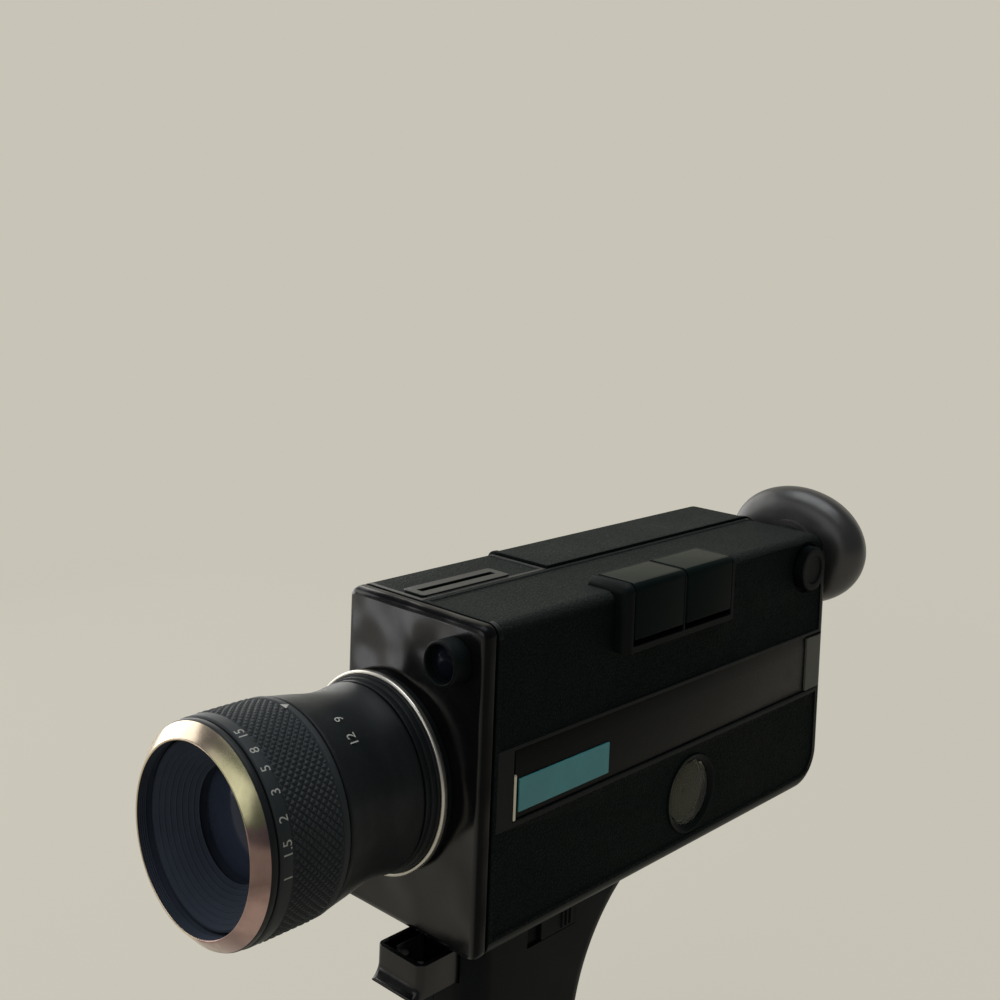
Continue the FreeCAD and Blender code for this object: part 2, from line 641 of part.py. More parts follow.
def front_cell():
    """Sleeve that slides in the barrel: stepped black ribs in front, the front glass inside."""
    steps = 8
    deep, fall = 1.1, 1.0
    first = -59.2
    rim = D.filter_radius - D.play
    bore = FRONT_GLASS_RADIUS
    sleeve = D.throat - 1.7 - D.fit
    corners = [(rim, first)]
    for step in range(steps):
        corners.append((rim - 0.7 - step * fall, first + step * deep))
        corners.append((rim - 0.7 - step * fall, first + (step + 1) * deep))
    corners += [(bore, first + steps * deep), (bore, -44), (bore - 1.1, -44), (bore - 1.1, -42),
                (sleeve, -42), (sleeve, -53.5), (rim - 1, -53.5), (rim - 1, -51), (rim, -51)]
    return turned("front_cell_form", corners)


def zoom_cell(name, y_front, y_back):
    """Lens group in its mount, sliding in the barrel: a ring with a glass closed in it."""
    outer = D.core_bore - D.fit
    return turned(name, [(0, y_front + 1.2), (5, y_front + 0.9), (9, y_front + 0.3), (9, y_front),
                         (outer, y_front), (outer, y_back), (9, y_back), (9, y_back - 0.3),
                         (5, y_back - 0.9), (0, y_back - 1.2)])


def eye_tube():
    return turned("eye_tube_form", [
        (D.eye_radius - 1.5, 0), (D.eye_radius, 0), (D.eye_radius, -D.eye_long + 0.4),
        (D.eye_radius - 0.4, -D.eye_long), (D.eye_radius - 1, -D.eye_long), (D.eye_radius - 1, -3.2),
        (D.eye_radius - 1.5, -3.2)], D.eye_x, D.eye_z)


def eye_lens():
    dome = ball("eye_dome", D.eye_x, sized(-4.6) + 11, D.eye_z, 11)
    disc = rod("eye_disc", "y", D.eye_x, -4.6, D.eye_z, D.eye_radius - 1, 1.4)
    return shared("eye_lens", disc, dome)


# Light path behind the lens, and the finder

def beam_splitter():
    half = 5.2
    return block("prism", D.lens_x - half, D.lens_x + half, D.prism_y - half, D.prism_y + half,
                 D.lens_z - half, D.lens_z + half)


def rear_lens_tube():
    """Prism box and the tube of the rear glass, slotted on top for the filter and the meter's vane."""
    start = TUBE_START
    box = block("prism_box", D.lens_x - 9, D.lens_x + 9, D.core_back, start, D.lens_z - 9, D.lens_z + 9)
    tube = rod("rear_tube", "y", D.lens_x, start, D.lens_z, 9, 21)
    return cut("rear_lens_tube", join("rear_tube_form", box, tube),
               rod("rear_tube_way", "y", D.lens_x, start - 1, D.lens_z, 7, 23),
               rod("prism_way", "y", D.lens_x, D.core_back - 1, D.lens_z, 5, 20),
               block("prism_seat", D.lens_x - 5.2, D.lens_x + 10, D.prism_y - 5.2, D.prism_y + 5.2,
                     D.lens_z - 5.2, D.lens_z + 5.2),
               block("filter_gap", D.lens_x - 6.3, D.lens_x + 6.3, FILTER_Y - 0.5, FILTER_Y + 1.1,
                     D.lens_z - 10, D.lens_z + 10),
               block("vane_gap", D.lens_x - 10, D.lens_x + 10, VANE_Y - 0.7, VANE_Y + 1.3, D.lens_z - 5.6,
                     D.lens_z + 10))


def rear_lens():
    return lens_glass("rear_lens", 45, 50, 7, 20)


def filter_slide():
    """Flat slide under the key slot, with an amber pane in its lower end and a tab at its top."""
    start = FILTER_Y
    plate = block("slide_plate", D.lens_x - 6, D.lens_x + 6, start, start + 0.6, D.lens_z - 5.2, 80)
    tab = block("slide_tab", D.lens_x - 3, D.lens_x + 3, start, start + 0.6, 80, 85.5)
    return cut("filter_slide", join("slide_form", plate, tab),
               rod("slide_window", "y", D.lens_x, start - 1, D.lens_z + 12.5, 4, 3))


def light_meter():
    can = rod("meter_can", "y", D.lens_x, 43.4, D.lens_z + 21, 8, 9)
    stand = block("meter_stand", D.lens_x - 3, D.lens_x + 3, 50, D.gate_front, D.lens_z + 24, D.lens_z + 28)
    return cut("light_meter", join("meter_form", can, stand),
               rod("meter_bore", "y", D.lens_x, 43, D.lens_z + 21, 0.6 + D.fit, 3))


def meter_vane():
    y1 = VANE_Y
    pivot_z = D.lens_z + 21
    arm = block("vane_arm", D.lens_x - 1.2, D.lens_x + 1.2, y1, y1 + 0.5, D.lens_z + 4, pivot_z)
    hub = rod("vane_hub", "y", D.lens_x, y1, pivot_z, 2.4, 0.9)
    pivot = rod("vane_pivot", "y", D.lens_x, y1, pivot_z, 0.6, 3.6)
    blade = rod("vane_blade", "y", D.lens_x, y1, D.lens_z, 5, 0.5)
    hole = rod("vane_hole", "y", D.lens_x, y1 - 1, D.lens_z, 1.6, 3)
    return cut("meter_vane", join("vane_form", arm, hub, pivot, blade), hole)


def finder_mirrors():
    """Two small mirrors: the lower one turns the light up, the upper one turns it to the eye."""
    mirrors = []
    for name, z, axis, angle in (("lower", D.lens_z, "y", 45), ("upper", D.finder_z, "x", -45)):
        mirror = doc.addObject("Part::Box", "mirror_" + name)
        bind(mirror, Length=9, Width=9, Height=1)
        corner = {"y": (-3.2, -4.5, 3.2), "x": (-4.5, -2.5, 3.9)}[axis]
        mirror.Placement = FreeCAD.Placement(FreeCAD.Vector(), FreeCAD.Rotation(AXES[axis], angle))
        place(mirror, D.finder_x + corner[0], D.prism_y + corner[1], z + corner[2])
        mirrors.append(mirror)
    return group("finder_mirrors", mirrors)


def finder_tube():
    """Long thin tube that widens into the eyepiece."""
    end = D.body_long + 8
    bore = D.finder_radius - 0.8
    return turned("finder_tube_form", [
        (bore, 32), (D.finder_radius, 32), (D.finder_radius, 150), (D.piece_radius, 150),
        (D.piece_radius, end), (D.piece_radius - 1.3, end), (D.piece_radius - 1.3, 152), (bore, 152)],
        D.finder_x, D.finder_z)


def eyepiece_lens():
    y = D.body_long
    disc = rod("piece_disc", "y", D.finder_x, y, D.finder_z, D.piece_radius - 1.3, 4)
    dome = ball("piece_dome", D.finder_x, y + 4 - 18, D.finder_z, 18)
    return shared("eyepiece_lens", disc, dome)


def oval(y, wide, tall, sideways, up):
    """A closed oval edge facing the operator. The tiny addition keeps it an oval where it is round."""
    centre = FreeCAD.Vector(D.finder_x.value + sideways, y, D.finder_z.value + up)
    centre += FreeCAD.Vector(*[length.value for length in SHIFT])
    curve = Part.Ellipse(centre + AXES["x"] * (wide + 0.001), centre + AXES["z"] * tall, centre)
    return Part.Wire([curve.toShape()])


def eyecup():
    """Rubber cup: a short round neck that swells like a bowl into a wide oval mouth."""
    start = D.body_long.value + 0.6
    back = D.cup_back.value
    wide, tall = D.cup_wide.value, D.cup_tall.value
    neck = D.piece_radius.value + 2
    bowl = start + 2.3
    skin = 1.8
    bore = D.piece_radius.value + D.fit.value
    curl = 0.17

    def section(part, shrink):
        """Oval at a share of the bowl's depth: it grows like the edge of a cube's rounded corner."""
        grow = (1 - (1 - part) ** 3) ** (1 / 3) * (1 - curl * part ** 3)
        return (bowl + (back - bowl) * part, neck + (wide - neck) * grow - shrink,
                neck + (tall - neck) * grow - shrink, D.cup_shift.value * grow, D.cup_lift.value * grow)
    parts = (0.04, 0.16, 0.4, 0.7, 1)
    outside = [(start, neck, neck, 0, 0), (start + 1.2, neck, neck, 0, 0)]
    outside += [section(part, 0) for part in parts]
    inside = [section(part, skin) for part in parts[1:]]
    inside.append((back + 0.5,) + inside[-1][1:])
    shell = Part.makeLoft([oval(*edge) for edge in outside], True, False)
    hollow = Part.makeLoft([oval(*edge) for edge in inside], True, False)
    centre = FreeCAD.Vector(D.finder_x.value, start - 1, D.finder_z.value)
    centre += FreeCAD.Vector(*[length.value for length in SHIFT])
    hole = Part.makeCylinder(bore, inside[0][0] - start + 2, centre, AXES["y"])
    cup = doc.addObject("Part::Feature", "eyecup_form")
    cup.Shape = shell.cut(hollow).cut(hole).removeSplitter()
    return cup


# Chassis and running gear

def shutter_shaft():
    """Long shaft with its gear in front, the open-sided shutter disc and the worm behind."""
    rodding = rod("shutter_rod", "y", D.shaft_x, 45, D.shaft_z, D.shaft_radius, D.spindle_y - 35)
    gear = toothed("shutter_gear_form", "y", D.shaft_x, GEAR_START, D.shaft_z, 4.7, GEAR_LONG,
                   SHUTTER_TEETH, TOOTH_DEEP)
    disc = rod("shutter_blank", "y", D.shaft_x, 54.4, D.shaft_z, D.shutter_radius, 0.8)
    hub = rod("shutter_hub", "y", D.shaft_x, 53, D.shaft_z, 3.4, 2.2)
    gap = block("shutter_sector", D.shaft_x, D.shaft_x + 30, 50, 58, D.shaft_z + 3.8, D.shaft_z + 30)
    screw = rod("worm_form", "y", D.shaft_x, D.spindle_y - 8, D.shaft_z, 2.3, 16)
    blade = cut("shutter_disc", join("shutter_form", disc, hub), gap)
    return join("shutter_shaft", rodding, gear, blade, screw)


def idler_gear():
    gear = toothed("idler_gear_form", "y", D.idler_x, GEAR_START, D.idler_z, D.idler_radius, GEAR_LONG,
                   IDLER_TEETH, TOOTH_DEEP)
    return cut("idler_gear", gear, rod("idler_bore", "y", D.idler_x, 45, D.idler_z, 1.2 + D.fit, 8))


def drive_motor():
    """Motor can with a plate behind it that carries the idler's stud."""
    can = rod("motor_can", "y", D.motor_x, 8.2, D.motor_z, D.motor_radius, 34)
    nose = rod("motor_nose", "y", D.motor_x, 4, D.motor_z, 6, 5)
    ear = rod("idler_ear", "y", D.idler_x, 40.2, D.idler_z, 3.2, 2)
    stud = rod("idler_stud", "y", D.idler_x, 42, D.idler_z, 1.2, 10)
    return cut("drive_motor", join("motor_form", can, nose, ear, stud),
               rod("motor_bush", "y", D.motor_x, 30, D.motor_z, 1 + D.fit, 20))


def motor_pinion():
    gear = toothed("motor_pinion_form", "y", D.motor_x, GEAR_START, D.motor_z, 4.5, GEAR_LONG,
                   MOTOR_TEETH, TOOTH_DEEP)
    return join("motor_pinion", gear, rod("motor_shaft", "y", D.motor_x, 34, D.motor_z, 1, 18))


def zoom_motor():
    can = rod("zoom_motor_can", "y", D.zoom_motor_x, 4, D.zoom_motor_z, 6, 12)
    bush = rod("zoom_motor_bush", "y", D.zoom_motor_x, 3, D.zoom_motor_z, 1 + D.fit, 9)
    return cut("zoom_motor", can, bush)


def zoom_pinion():
    gear = toothed("zoom_pinion_form", "y", D.zoom_motor_x, -14, D.zoom_motor_z, 3.3, 4.6,
                   ZOOM_PINION_TEETH, 0.5)
    shaft = rod("zoom_pinion_shaft", "y", D.zoom_motor_x, -14, D.zoom_motor_z, 1, 25)
    return join("zoom_pinion", gear, shaft)


def takeup_spindle():
    """Shaft through the chassis: a worm wheel on one side, the film core's driver on the other."""
    wheel = toothed("takeup_wheel_form", "x", 3.2, D.spindle_y, D.spindle_z, 12.3, 2.6, TAKEUP_TEETH, 0.7)
    shaft = rod("spindle_shaft", "x", -6, D.spindle_y, D.spindle_z, D.shaft_radius, 12.5)
    head = rod("spindle_head", "x", -6, D.spindle_y, D.spindle_z, 2.8, 5.4)
    wings = block("spindle_wings", -6, -1.2, D.spindle_y - 4, D.spindle_y + 4, D.spindle_z - 0.6,
                  D.spindle_z + 0.6)
    return join("takeup_spindle", wheel, shaft, head, wings)


def chassis():
    """One casting: the bulkhead with the picture gate, the wall beside the film, lugs and studs."""
    gap = D.play
    y1, y2 = D.gate_front, D.gate_front + D.gate_thick
    bulkhead = rounded("gate_corners",
                       block("gate_slab", INNER_RIGHT + gap, INNER_LEFT - gap, y1, y2,
                             D.wall + gap, D.body_tall - D.wall - gap),
                       (2.5, lambda p, d: along(d, "y")))
    rear = D.body_long - D.wall - gap
    wall = rounded("chassis_corners",
                   block("chassis_slab", 0, D.chassis_thick, y2, rear, D.wall + gap,
                         D.body_tall - D.wall - gap),
                   (D.heel_round, lambda p, d: along(d, "x") and near(p.y, rear)))
    pieces = [bulkhead, wall]
    for low, high in LUGS:
        knuckle = rod("knuckle_%d" % low, "z", HINGE_X, HINGE_Y, low, 1.0, high - low)
        arm = block("lug_arm_%d" % low, HINGE_X, INNER_RIGHT + 2, y1, y2, low, high)
        pieces += [knuckle, arm]
    pieces.append(rod("dial_foot", "x", D.chassis_thick, D.counter_y, D.counter_z, 2.2,
                      INNER_LEFT - 6 - D.chassis_thick))
    pieces.append(rod("dial_stud", "x", D.chassis_thick, D.counter_y, D.counter_z, 0.8,
                      INNER_LEFT - 2.3 - D.chassis_thick))
    for number, (x1, x2) in enumerate(((-7.6, -0.35), (0.35, 7.6))):
        middle = D.lens_x + CLAW_SIDE
        pieces.append(block("claw_guide_%d" % number, middle + max(x1, -2), middle + min(x2, 2), 56.3, y1,
                            D.lens_z + 6.2, D.lens_z + 11))
    y = D.gate_front - 1
    return cut("chassis", join("chassis_form", *pieces),
               block("aperture", D.lens_x - 2.9, D.lens_x + 2.9, y, y + 4, D.lens_z - 2.1, D.lens_z + 2.1),
               block("claw_slot", D.lens_x + CLAW_SIDE - 0.7, D.lens_x + CLAW_SIDE + 0.7, y, y + 4,
                     D.lens_z - 2.4, D.lens_z + 5.2),
               rod("shaft_bearing", "y", D.shaft_x, y, D.shaft_z, D.shaft_radius + D.fit, 4),
               rod("spindle_bearing", "x", -1, D.spindle_y, D.spindle_z, D.shaft_radius + D.fit, 4),
               rod("finder_way", "y", D.finder_x, y, D.finder_z, D.finder_radius, 4),
               rod("piece_way", "y", D.finder_x, 148, D.finder_z, D.piece_radius + 0.2, 30),
               pod_form("pod_way", D.play),
               *[rod("lug_bore_%d" % low, "z", HINGE_X, HINGE_Y, sized(low) - 1, PIN_RADIUS, high - low + 2)
                 for low, high in LUGS])


def claw():
    """Film claw: a tooth on a flat upright arm that runs between two guides."""
    x1, x2 = D.lens_x + CLAW_SIDE - 0.3, D.lens_x + CLAW_SIDE + 0.3
    arm = block("claw_arm", x1, x2, 56.6, 57.9, D.lens_z + 1, D.lens_z + 16)
    tooth = block("claw_tooth", x1, x2, 57.5, 60.6, D.lens_z + 3.4, D.lens_z + 4.8)
    return join("claw", arm, tooth)


def circuit_board():
    """Board with its chips, two round capacitors and the zoom switch at its top."""
    board = block("board", 19.2, 20.6, 62.5, 150, 33.6, 64)
    chips = [block("chip_%d" % number, 14.4, 19.2, y, sized(y) + 9, z, sized(z) + 6)
             for number, (y, z) in enumerate(((76, 50), (112, 50), (112, 36), (132, 50)))]
    cans = [rod("can_%d" % y, "x", 11, y, 42, 3, 8.2) for y in (128, 144)]
    switch = block("zoom_switch", 18.4, 24.6, D.cap_start + 12.2, D.cap_start + 36.2, 60, D.pod_top - 6.4)
    return join("circuit_board", board, switch, *chips, *cans)


# Grip and trigger

def grip_form(name, inset):
    """Side outline of the grip, drawn in by an inset: a straight front and a curved web behind."""
    half = D.grip_wide / 2 - inset
    back = D.grip_back - inset
    form = block(name + "_block", D.grip_x - half, D.grip_x + half, D.grip_front + inset, 90,
                 -D.grip_tall + inset, -inset)
    web = rod(name + "_web", "x", D.grip_x - half - 1, back + D.web_radius, D.web_z, D.web_radius,
              half * 2 + 2)
    lower = block(name + "_behind", D.grip_x - half - 1, D.grip_x + half + 1, back, 120, -D.grip_tall - 1,
                  D.web_z)
    rear = cut(name + "_side", form, web, lower)
    soft = D.grip_round - inset

    def upright(p, d):
        at_side = near(abs(p.x - D.grip_x.value), half)
        return at_side and abs(d.x) < 0.01 and abs(d.z) > 0.35 and p.z < -1
    return rounded(name + "_softened", rear, (soft, upright))


def grip_half(name, side):
    """One half of the hollow grip: side is 1 for the left half and -1 for the right one."""
    wall = D.wall
    shell = cut(name + "_shell", grip_form(name + "_out", sized(0)), grip_form(name + "_in", wall))
    middle = D.grip_x
    inner = D.grip_wide / 2 - wall
    shelves = [block(name + "_shelf_%d" % number, middle - inner - 0.5, middle + inner + 0.5,
                     D.grip_front + wall - 0.5, D.grip_back - wall + 0.5, low, high)
               for number, (low, high) in enumerate((
                   (D.cell_low - 2.4, D.cell_low - 0.6),
                   (D.cell_low + D.cell_long + 0.6, D.cell_low + D.cell_long + 2.2)))]
    trimmed = shared(name + "_shelves", join(name + "_blocks", *shelves), grip_form(name + "_core", sized(1)))
    body = join(name + "_body", shell, trimmed)
    far = middle + 60 * side
    low, high = (middle, far) if side > 0 else (far, middle)
    half = shared(name + "_half", body, block(name + "_keep", low, high, -20, 120, -120, 20))
    gap = D.play
    reach = D.trigger_wide / 2 + gap
    tools = [
        block(name + "_trigger_way", middle - reach, middle + reach, 0, D.grip_front + wall + 0.5,
              D.trigger_low - gap, 1),
        rod(name + "_bush_hole", "z", middle, D.bush_y, -D.grip_tall - 1, D.bush_radius, 4)]
    if side > 0:
        tools.append(block(name + "_switch_seat", middle + D.grip_wide / 2 - 1.2, middle + 30, 28, 48.6,
                           -8.2, 1))
        return cut(name, half, *tools)
    out = middle - D.grip_wide / 2
    tools.append(block(name + "_door_way", out - 10, out + 5, DOOR_FRONT, DOOR_BACK + 1.4, DOOR_LOW,
                       DOOR_HIGH))
    tools += [screw_hole("grip_screw_hole_%d" % number, out, y, z)
              for number, (y, z) in enumerate(GRIP_SCREWS)]
    pin = rod("battery_pin", "z", out + 1, DOOR_BACK, DOOR_LOW - 2, 0.5, DOOR_HIGH - DOOR_LOW + 4)
    return join(name, cut(name + "_cut", half, *tools), pin)


def battery_door():
    """Flat door in the grip's right side with a round knuckle at its rear edge."""
    out = D.grip_x - D.grip_wide / 2
    gap = D.play
    leaf = block("battery_leaf", out, out + D.wall, sized(DOOR_FRONT) + gap, DOOR_BACK, DOOR_LOW + gap,
                 DOOR_HIGH - gap)
    tall = DOOR_HIGH - DOOR_LOW
    knuckle = rod("battery_knuckle", "z", out + 1, DOOR_BACK, DOOR_LOW + gap, 1, tall - gap * 2)
    ribs = [block("battery_rib_%d" % count, out - 1, out + 0.5, DOOR_FRONT + 2.6, DOOR_FRONT + 9.0,
                  -60 + 3.0 * count, -58.6 + 3.0 * count) for count in range(6)]
    bore = rod("battery_pin_hole", "z", out + 1, DOOR_BACK, DOOR_LOW - 1, 0.5 + D.fit, tall + 2)
    return cut("battery_door", join("battery_leaf_form", leaf, knuckle), *ribs, bore)


def batteries():
    """Three size AA cells side by side, each with its small button on top."""
    cells = []
    for number in range(3):
        y = D.cell_first + D.cell_pitch * number
        can = rod("cell_can_%d" % number, "z", D.grip_x, y, D.cell_low, D.cell_radius, D.cell_long - 1)
        tip = rod("cell_tip_%d" % number, "z", D.grip_x, y, D.cell_low, 2.7, D.cell_long)
        cells.append(join("cell_%d" % number, can, tip))
    return group("batteries", cells)


def battery_contacts():
    """Sprung strips above and below the cells."""
    thick = 0.6
    top = D.cell_low + D.cell_long
    strips = [block("contact_" + name, D.grip_x - 5, D.grip_x + 5, D.grip_front + 4, D.grip_back - 6,
                    low, low + thick) for name, low in (("upper", top), ("lower", D.cell_low - thick))]
    return group("battery_contacts", strips)


def tripod_bush():
    """Flanged threaded insert in the grip's foot."""
    foot = -D.grip_tall
    barrel = rod("bush_barrel", "z", D.grip_x, D.bush_y, foot, D.bush_radius - 0.05, D.bush_long)
    flange = rod("bush_flange", "z", D.grip_x, D.bush_y, foot + D.wall, D.bush_radius + 3, 3)
    return cut("tripod_bush", join("bush_form", barrel, flange),
               rod("bush_thread", "z", D.grip_x, D.bush_y, foot - 1, D.bush_bore, D.bush_long - 1))


def run_switch():
    """Flat sliding button close under the body, with three grip ribs."""
    side = D.grip_x + D.grip_wide / 2
    bar = block("run_bar", side - 1.2, side + 0.3, 33.4, 48.3, -7.9, -0.2)
    ribs = [block("run_rib_%d" % number, side + 0.3, side + 0.8, y, sized(y) + 0.9, -7.2, -1)
            for number, y in enumerate((42, 43.8, 45.6))]
    return join("run_switch", bar, *ribs)


def trigger():
    """Open-topped shell with a lip that flares forward at its lower edge."""
    half = D.trigger_wide / 2
    front, low, top = D.trigger_front, D.trigger_low, D.trigger_top
    x1, x2 = D.grip_x - half, D.grip_x + half
    skin = 1.5
    back = D.grip_front + 6
    shell = block("trigger_shell", x1, x2, front, back, low, top)
    lip = block("trigger_lip_block", x1, x2, front - D.lip_reach, front + 1, low, low + D.lip_curve)
    hollow = rod("trigger_lip_curve", "x", x1 - 1, front - D.lip_curve, low + D.lip_curve, D.lip_curve,
                 D.trigger_wide + 2)
    form = join("trigger_form", shell, cut("trigger_lip", lip, hollow))
    soft = rounded("trigger_soft", form, (2.2, lambda p, d: along(d, "z") and near(p.y, front, 0.1)))
    ears = block("trigger_ears", x1 - 1.6, x2 + 1.6, back - 1.9, back, low, top - 1)
    well = block("trigger_well", x1 + skin, x2 - skin, front + skin, back - 4, low + skin, top + 1)
    return cut("trigger", join("trigger_eared", soft, ears), well)


def trigger_screws():
    """Screw heads and a small contact strip inside the open shell."""
    floor = D.trigger_low + 1.5
    heads = [rod("trigger_screw_%d" % number, "z", D.grip_x + x, y, floor, 1.5, 5.2)
             for number, (x, y) in enumerate(((-3.6, -2.6), (3.8, -3.4)))]
    strip = block("trigger_strip", D.grip_x - 5.6, D.grip_x - 5.1, -3.4, 6.5, floor, floor + 6.6)
    return group("trigger_screws", heads + [strip])


def trigger_spring():
    """Coil between the trigger and the switch behind it."""
    wire, turns = 0.35, 5
    length = SWITCH_Y - D.grip_front - 6
    coil = doc.addObject("Part::Helix", "trigger_coil_path")
    coil.Placement = FreeCAD.Placement(FreeCAD.Vector(), TURNS["y"])
    bind(coil, Radius=3 - wire, Pitch=(length - wire * 2) / turns, Height=length - wire * 2)
    place(coil, D.grip_x, D.grip_front + 6 + wire, sized(-6.6))
    ring = doc.addObject("Part::Circle", "trigger_coil_wire")
    ring.Radius = wire
    ring.Placement = FreeCAD.Placement(FreeCAD.Vector(), FreeCAD.Rotation(AXES["z"], AXES["z"]))
    place(ring, D.grip_x + 3 - wire, D.grip_front + 6 + wire, sized(-6.6))
    doc.recompute()
    sweep = doc.addObject("Part::Sweep", "trigger_coil")
    sweep.Sections = [ring]
    sweep.Spine = (coil, [])
    sweep.Solid = True
    sweep.Frenet = True
    return sweep


def trigger_switch():
    return block("trigger_switch_form", D.grip_x - 5, D.grip_x + 5, SWITCH_Y, SWITCH_Y + 11, -11, -2)


# All the nodes

def build():
    keep("left_casing", left_casing())
    keep("right_front_casing", right_front_casing())
    keep("casing_screws", casing_screws())
    keep("film_door", film_door())
    keep("hinge_pins", hinge_pins())
    keep("door_latch", door_latch())
    keep("front_plate", front_plate())
    keep("name_strip", name_strip())
    keep("strip_end_bar", strip_end_bar())
    keep("badge_plate", badge_plate())
    keep("strip_end_plate", strip_end_plate())
    keep("counter_bezel", counter_bezel())
    keep("counter_window", counter_window())
    keep("counter_dial", counter_dial())
    keep("diopter_knob", diopter_knob())
    keep("zoom_button_housing", zoom_button_housing())
    wide_start, tele_start = cap_starts()
    keep("zoom_button_wide", zoom_button("wide_cap", wide_start))
    keep("zoom_button_tele", zoom_button("tele_cap", tele_start))
    keep("lens_barrel", lens_barrel())
    keep("trim_ring", trim_ring())
    keep("zoom_ring", zoom_ring())
    keep("focus_ring", focus_ring())
    keep("front_bezel", front_bezel())
    keep("front_cell", front_cell())
    keep("front_lens", lens_glass("front_glass", -49.9, -44, FRONT_GLASS_RADIUS, 60))
    keep("variator_cell", zoom_cell("variator_form", -35, -29))
    keep("compensator_cell", zoom_cell("compensator_form", -12, -7))
    keep("eye_tube", eye_tube())
    keep("eye_lens", eye_lens())
    keep("rear_lens_tube", rear_lens_tube())
    keep("beam_splitter", beam_splitter())
    keep("rear_lens", rear_lens())
    keep("filter_slide", filter_slide())
    keep("light_meter", light_meter())
    keep("meter_vane", meter_vane())
    keep("finder_mirrors", finder_mirrors())
    keep("finder_tube", finder_tube())
    keep("eyepiece_lens", eyepiece_lens())
    keep("eyecup", eyecup())
    keep("chassis", chassis())
    keep("shutter_shaft", shutter_shaft())
    keep("claw", claw())
    keep("idler_gear", idler_gear())
    keep("drive_motor", drive_motor())
    keep("motor_pinion", motor_pinion())
    keep("zoom_motor", zoom_motor())
    keep("zoom_pinion", zoom_pinion())
    keep("takeup_spindle", takeup_spindle())
    keep("circuit_board", circuit_board())
    keep("grip_left", grip_half("grip_left_form", 1))
    keep("grip_right", grip_half("grip_right_form", -1))
    keep("battery_door", battery_door())
    keep("batteries", batteries())
    keep("battery_contacts", battery_contacts())
    keep("tripod_bush", tripod_bush())
    keep("run_switch", run_switch())
    keep("trigger", trigger())
    keep("trigger_screws", trigger_screws())
    keep("trigger_spring", trigger_spring())
    keep("trigger_switch", trigger_switch())


def check_and_write():
    """Stops on any failed object, then writes each node to its own file."""
    doc.recompute()
    os.makedirs("parts", exist_ok=True)
    for thing in doc.Objects:
        if "Invalid" in thing.State or "Error" in thing.State:
            raise RuntimeError("%s failed: %s" % (thing.Name, thing.State))
    for name, thing in nodes.items():
        shape = thing.Shape
        if shape.isNull() or not shape.isValid() or shape.Volume <= 0:
            raise RuntimeError("%s has no valid solid" % name)
        shape.exportStep("parts/%s.step" % name)
    print(len(nodes), "nodes written")


build()
check_and_write()
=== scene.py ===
import bmesh
import bpy
import math
import numpy as np
from mathutils import Matrix, Vector


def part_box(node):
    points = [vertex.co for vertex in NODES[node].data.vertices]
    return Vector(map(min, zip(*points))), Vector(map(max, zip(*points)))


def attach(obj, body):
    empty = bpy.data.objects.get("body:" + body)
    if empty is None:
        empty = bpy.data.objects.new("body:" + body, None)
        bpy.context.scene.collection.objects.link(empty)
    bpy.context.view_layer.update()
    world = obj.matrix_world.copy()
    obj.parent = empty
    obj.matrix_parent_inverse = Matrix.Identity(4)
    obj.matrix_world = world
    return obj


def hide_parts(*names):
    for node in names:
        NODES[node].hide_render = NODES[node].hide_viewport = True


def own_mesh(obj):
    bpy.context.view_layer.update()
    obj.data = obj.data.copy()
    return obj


bl_info = {
    "name": "Movie Camera Looks",
    "version": (1, 0, 0),
    "blender": (4, 5, 0),
    "location": "3D View > Sidebar > Movie Camera",
    "description": "Finishes a packed film camera: lens, leatherette casings, grip, stage and light",
    "category": "Object",
}

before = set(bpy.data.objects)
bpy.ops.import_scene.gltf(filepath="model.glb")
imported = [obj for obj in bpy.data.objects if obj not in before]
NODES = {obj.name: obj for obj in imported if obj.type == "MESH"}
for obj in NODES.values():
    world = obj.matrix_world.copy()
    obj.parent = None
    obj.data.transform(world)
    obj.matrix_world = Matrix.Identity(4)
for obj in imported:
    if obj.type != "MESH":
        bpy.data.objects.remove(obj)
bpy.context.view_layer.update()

# Sizes below are millimetres on the camera's own lines: x from the middle of the body to the
# operator's left, y back from the face of the front plate, z up from the underside of the body.
MM = 0.001
PLATE_LOW, PLATE_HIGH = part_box("front_plate")
ORIGIN = np.array([(PLATE_LOW[0] + PLATE_HIGH[0]) / 2, PLATE_LOW[1], PLATE_LOW[2]])


def to_frame(points):
    """Millimetres on the camera's own lines, as metres in the frame."""
    return np.asarray(points, float) * MM + ORIGIN


def from_frame(points):
    return (np.asarray(points) - ORIGIN) / MM


def span(node):
    """Lowest and highest corner of a CAD node in millimetres on the camera's own lines."""
    low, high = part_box(node)
    return from_frame(low), from_frame(high)


def middle(node):
    low, high = span(node)
    return (low + high) / 2


def radius_of(node, axis=0):
    low, high = span(node)
    return (high[axis] - low[axis]) / 2


LENS_X, _, LENS_Z = middle("focus_ring")
EYE_X, _, EYE_Z = middle("eye_tube")
CUP_X, _, CUP_Z = middle("finder_tube")
COUNTER = middle("counter_bezel")
KNOB = middle("diopter_knob")
CASE_LEFT, CASE_LONG, CASE_TALL = span("left_casing")[1]
# Place of the seam between the two halves, and width of the raised border beside it
SEAM, BEAD = -2.5, 1.6
# Points nearer than this are one point; edges sharper than this many degrees stay sharp
MERGE = 0.002
SHARP = 35


# Meshes from grids of points

def rework(mesh, change):
    """Opens a mesh, lets change(work) edit it, and closes it again."""
    work = bmesh.new()
    work.from_mesh(mesh)
    change(work)
    work.to_mesh(mesh)
    work.free()


def merged_outward(work):
    bmesh.ops.remove_doubles(work, verts=work.verts, dist=MERGE * MM)
    bmesh.ops.recalc_face_normals(work, faces=work.faces)


def made_whole(work):
    bmesh.ops.remove_doubles(work, verts=work.verts, dist=0.001 * MM)
    bmesh.ops.dissolve_limit(work, angle_limit=math.radians(0.6), verts=work.verts, edges=work.edges)


